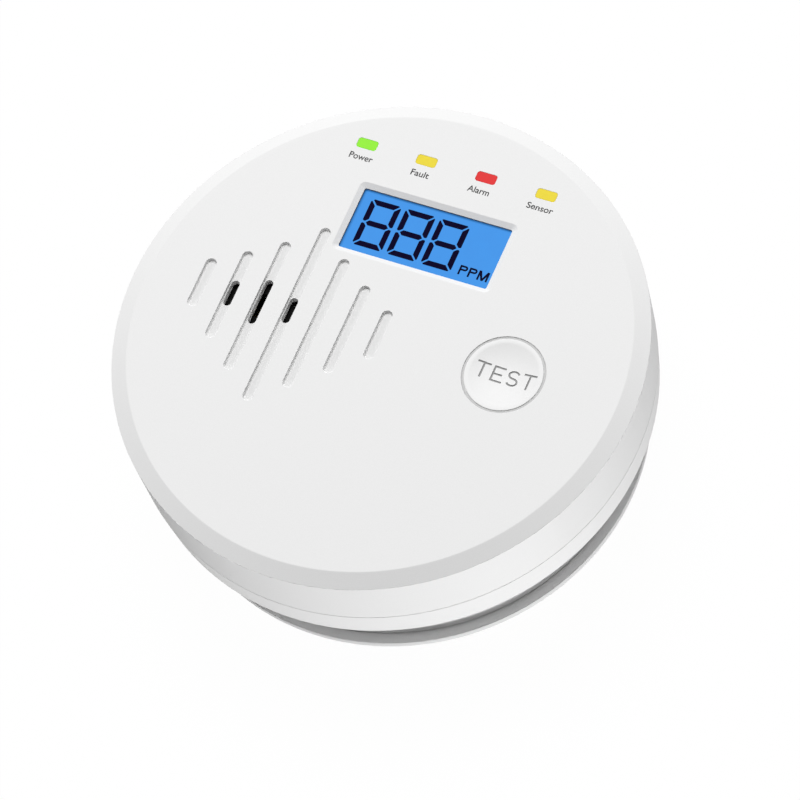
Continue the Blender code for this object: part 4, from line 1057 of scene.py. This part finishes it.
def digit_outlines(x, y):
    """The seven bars of a figure eight, each with slanted ends."""
    wide = DIGIT_WIDTH
    tall = DIGIT_HEIGHT
    bar = DIGIT_STROKE
    gap = DIGIT_GAP
    clip = DIGIT_CLIP
    half = tall / 2
    top = [
        (gap + clip, tall), (gap + clip / 2, tall - clip / 2), (bar + gap, tall - bar),
        (wide - bar - gap, tall - bar), (wide - gap - clip / 2, tall - clip / 2), (wide - gap - clip, tall),
    ]
    upper_left = [
        (clip / 2, tall - gap - clip / 2), (0, tall - gap - clip), (0, half + gap + clip / 2),
        (clip / 2, half + gap), (bar / 2, half + gap), (bar, half + bar / 2 + gap), (bar, tall - bar - gap),
    ]
    middle = [
        (bar / 2 + gap, half), (bar + gap, half - bar / 2), (wide - bar - gap, half - bar / 2),
        (wide - bar / 2 - gap, half), (wide - bar - gap, half + bar / 2), (bar + gap, half + bar / 2),
    ]
    bars = [top, upper_left, middle]
    bars.append([(px, tall - py) for px, py in top])
    bars.append([(px, tall - py) for px, py in upper_left])
    bars.append([(wide - px, py) for px, py in upper_left])
    bars.append([(wide - px, tall - py) for px, py in upper_left])
    return [[(x + px, y + py) for px, py in outline] for outline in bars]


def make_digits():
    outlines = []
    for index in range(DIGIT_COUNT):
        x = WINDOW_PLACE[0] + FIRST_DIGIT[0] + index * DIGIT_PITCH
        outlines += digit_outlines(x, WINDOW_PLACE[1] + FIRST_DIGIT[1])
    digits = joined(flat_pieces("bar", outlines, GLASS_TOP_Z, GLASS_TOP_Z + SEGMENT_THICKNESS))
    digits.name = "display_digits"
    finished(digits, "head", [], SEGMENT)
    outlines = []
    for letter, start, width in UNIT_LETTERS:
        x = WINDOW_PLACE[0] + start
        y = WINDOW_PLACE[1] + UNIT_FLOOR
        if letter == "P":
            stem = [(0.0, 0.0), (UNIT_STROKE, 0.0), (UNIT_STROKE, UNIT_HEIGHT), (0.0, UNIT_HEIGHT)]
            shapes = [stem, letter_p_bowl(width, UNIT_HEIGHT, UNIT_STROKE)]
        else:
            shapes = [letter_m(width, UNIT_HEIGHT, UNIT_STROKE)]
        outlines += [[(x + px, y + py) for px, py in shape] for shape in shapes]
    unit = joined(flat_pieces("unit", outlines, GLASS_TOP_Z, GLASS_TOP_Z + SEGMENT_THICKNESS))
    unit.name = "display_unit"
    finished(unit, "head", [], SEGMENT)


def make_captions():
    for light in LIGHT_NAMES:
        x, y = light_place(light)
        x += CAPTION_SHIFTS[light]
        y -= CAPTION_BELOW_LIGHT
        half = CAPTION_HALF_WIDTHS[light]
        low = (x - half, y - CAPTION_HEIGHT / 2)
        high = (x + half, y + CAPTION_HEIGHT / 2)
        name = f"{light}_caption"
        caption = words(name, CAPTIONS[light], low, high, FACE_Z, PRINT_THICKNESS, CAPTION_WEIGHT)
        finished(caption, "head", [], CAPTION_INK)


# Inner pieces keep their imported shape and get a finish

INNER_FINISHES = {
    "tact_switch_body": BLACK,
    "tact_switch_plunger": HOLDER,
    "lcd_backlight": MILKY,
    "lcd_holder": HOLDER,
    "lcd_zebra_strip": RUBBER,
    "main_board": BOARD,
    "microcontroller": BLACK,
    "step_up_coil": FERRITE,
    "capacitor": CAN,
    "gas_sensor_can": STEEL,
    "gas_sensor_cap": HOLDER,
    "sounder_case": SOUNDER_BLACK,
    "piezo_disc": BRASS,
    "positive_contact": STEEL,
    "negative_contact": STEEL,
    "battery_lead_red": RED_LEAD,
    "battery_lead_black": BLACK_LEAD,
}
FINISHES_BY_START = {
    "battery_spring": STEEL,
    "link_contact": STEEL,
    "housing_screw": STEEL,
    "board_screw": STEEL,
}


def inner_finish(name):
    if name in INNER_FINISHES:
        return INNER_FINISHES[name]
    if name.endswith("_led"):
        return LED_BODY
    for start, material in FINISHES_BY_START.items():
        if name.startswith(start):
            return material
    return JACKET


def finish_inner_pieces():
    for name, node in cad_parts.items():
        if not node.hide_render:
            node.data.materials.clear()
            node.data.materials.append(inner_finish(name))


# Stage

def seen_by_eye(nodes, links):
    """One for rays that the eye, a reflection or clear glass sends out, and zero for the rest."""
    rays = nodes.new("ShaderNodeLightPath")
    first = nodes.new("ShaderNodeMath")
    first.operation = "MAXIMUM"
    links.new(rays.outputs["Is Camera Ray"], first.inputs[0])
    links.new(rays.outputs["Is Glossy Ray"], first.inputs[1])
    second = nodes.new("ShaderNodeMath")
    second.operation = "MAXIMUM"
    links.new(first.outputs["Value"], second.inputs[0])
    links.new(rays.outputs["Is Transmission Ray"], second.inputs[1])
    return second.outputs["Value"]


def make_floor():
    """A wide white floor that keeps a faint shadow."""
    material = bpy.data.materials.new("floor_white")
    material.use_nodes = True
    nodes = material.node_tree.nodes
    links = material.node_tree.links
    nodes.clear()
    matt = nodes.new("ShaderNodeBsdfDiffuse")
    matt.inputs["Color"].default_value = (*grey(FLOOR_GREY), 1.0)
    glow = nodes.new("ShaderNodeEmission")
    glow.inputs["Strength"].default_value = FLOOR_GLOW
    share = nodes.new("ShaderNodeMath")
    share.operation = "MULTIPLY"
    share.inputs[1].default_value = FLOOR_GLOW_SHARE
    links.new(seen_by_eye(nodes, links), share.inputs[0])
    mix = nodes.new("ShaderNodeMixShader")
    links.new(share.outputs["Value"], mix.inputs["Fac"])
    links.new(matt.outputs["BSDF"], mix.inputs[1])
    links.new(glow.outputs["Emission"], mix.inputs[2])
    output = nodes.new("ShaderNodeOutputMaterial")
    links.new(mix.outputs["Shader"], output.inputs["Surface"])
    height = PLATE_LOW.z - FLOOR_GAP
    floor = turned("floor", [(FLOOR_RADIUS / ROUND, height), (FLOOR_RADIUS, height)])
    floor.data.materials.append(material)
    floor.visible_shadow = False


def make_world():
    world = bpy.data.worlds.new("studio")
    bpy.context.scene.world = world
    world.use_nodes = True
    nodes = world.node_tree.nodes
    links = world.node_tree.links
    nodes.clear()
    soft = nodes.new("ShaderNodeBackground")
    soft.inputs["Color"].default_value = (*grey(AMBIENT), 1.0)
    white = nodes.new("ShaderNodeBackground")
    white.inputs["Color"].default_value = (*grey(1.0), 1.0)
    mix = nodes.new("ShaderNodeMixShader")
    links.new(seen_by_eye(nodes, links), mix.inputs["Fac"])
    links.new(soft.outputs["Background"], mix.inputs[1])
    links.new(white.outputs["Background"], mix.inputs[2])
    output = nodes.new("ShaderNodeOutputWorld")
    links.new(mix.outputs["Shader"], output.inputs["Surface"])


def direction(azimuth, elevation):
    """Azimuth is measured from -Y towards +X."""
    flat = math.cos(elevation)
    return Vector((flat * math.sin(azimuth), -flat * math.cos(azimuth), math.sin(elevation)))


def make_lamp(name, azimuth, elevation, size, brightness):
    """A round lamp. Brightness 1 alone lights a white surface that faces it to full white."""
    light = bpy.data.lights.new(name, "AREA")
    light.shape = "DISK"
    light.size = size
    light.energy = brightness * (math.pi * LAMP_DISTANCE) ** 2
    lamp = bpy.data.objects.new(name, light)
    towards = direction(CAMERA_AZIMUTH + math.radians(azimuth), math.radians(elevation))
    lamp.location = towards * LAMP_DISTANCE
    lamp.rotation_euler = towards.to_track_quat("Z", "Y").to_euler()
    bpy.context.scene.collection.objects.link(lamp)


def make_camera():
    camera = bpy.data.cameras.new("camera")
    camera.sensor_width = CAMERA_SENSOR
    camera.lens = CAMERA_LENS
    camera.clip_start = CAMERA_NEAR
    eye = bpy.data.objects.new("camera", camera)
    back = direction(CAMERA_AZIMUTH, CAMERA_ELEVATION)
    level = Vector((math.cos(CAMERA_AZIMUTH), math.sin(CAMERA_AZIMUTH), 0.0))
    upright = back.cross(level)
    right = math.cos(CAMERA_ROLL) * level - math.sin(CAMERA_ROLL) * upright
    up = math.sin(CAMERA_ROLL) * level + math.cos(CAMERA_ROLL) * upright
    turn = Matrix((right, up, back)).transposed().to_4x4()
    eye.matrix_world = Matrix.Translation(CAMERA_AIM + back * CAMERA_DISTANCE) @ turn
    bpy.context.scene.collection.objects.link(eye)
    bpy.context.scene.camera = eye


make_camera()
make_cover()
make_housing()
make_plate()
make_button()
make_glass()
make_digits()
for light in LIGHT_NAMES:
    make_light(light)
make_captions()
finish_inner_pieces()
make_floor()
make_world()
for name, lamp in LAMPS.items():
    make_lamp(name, *lamp)
bpy.context.scene.view_settings.view_transform = "Standard"
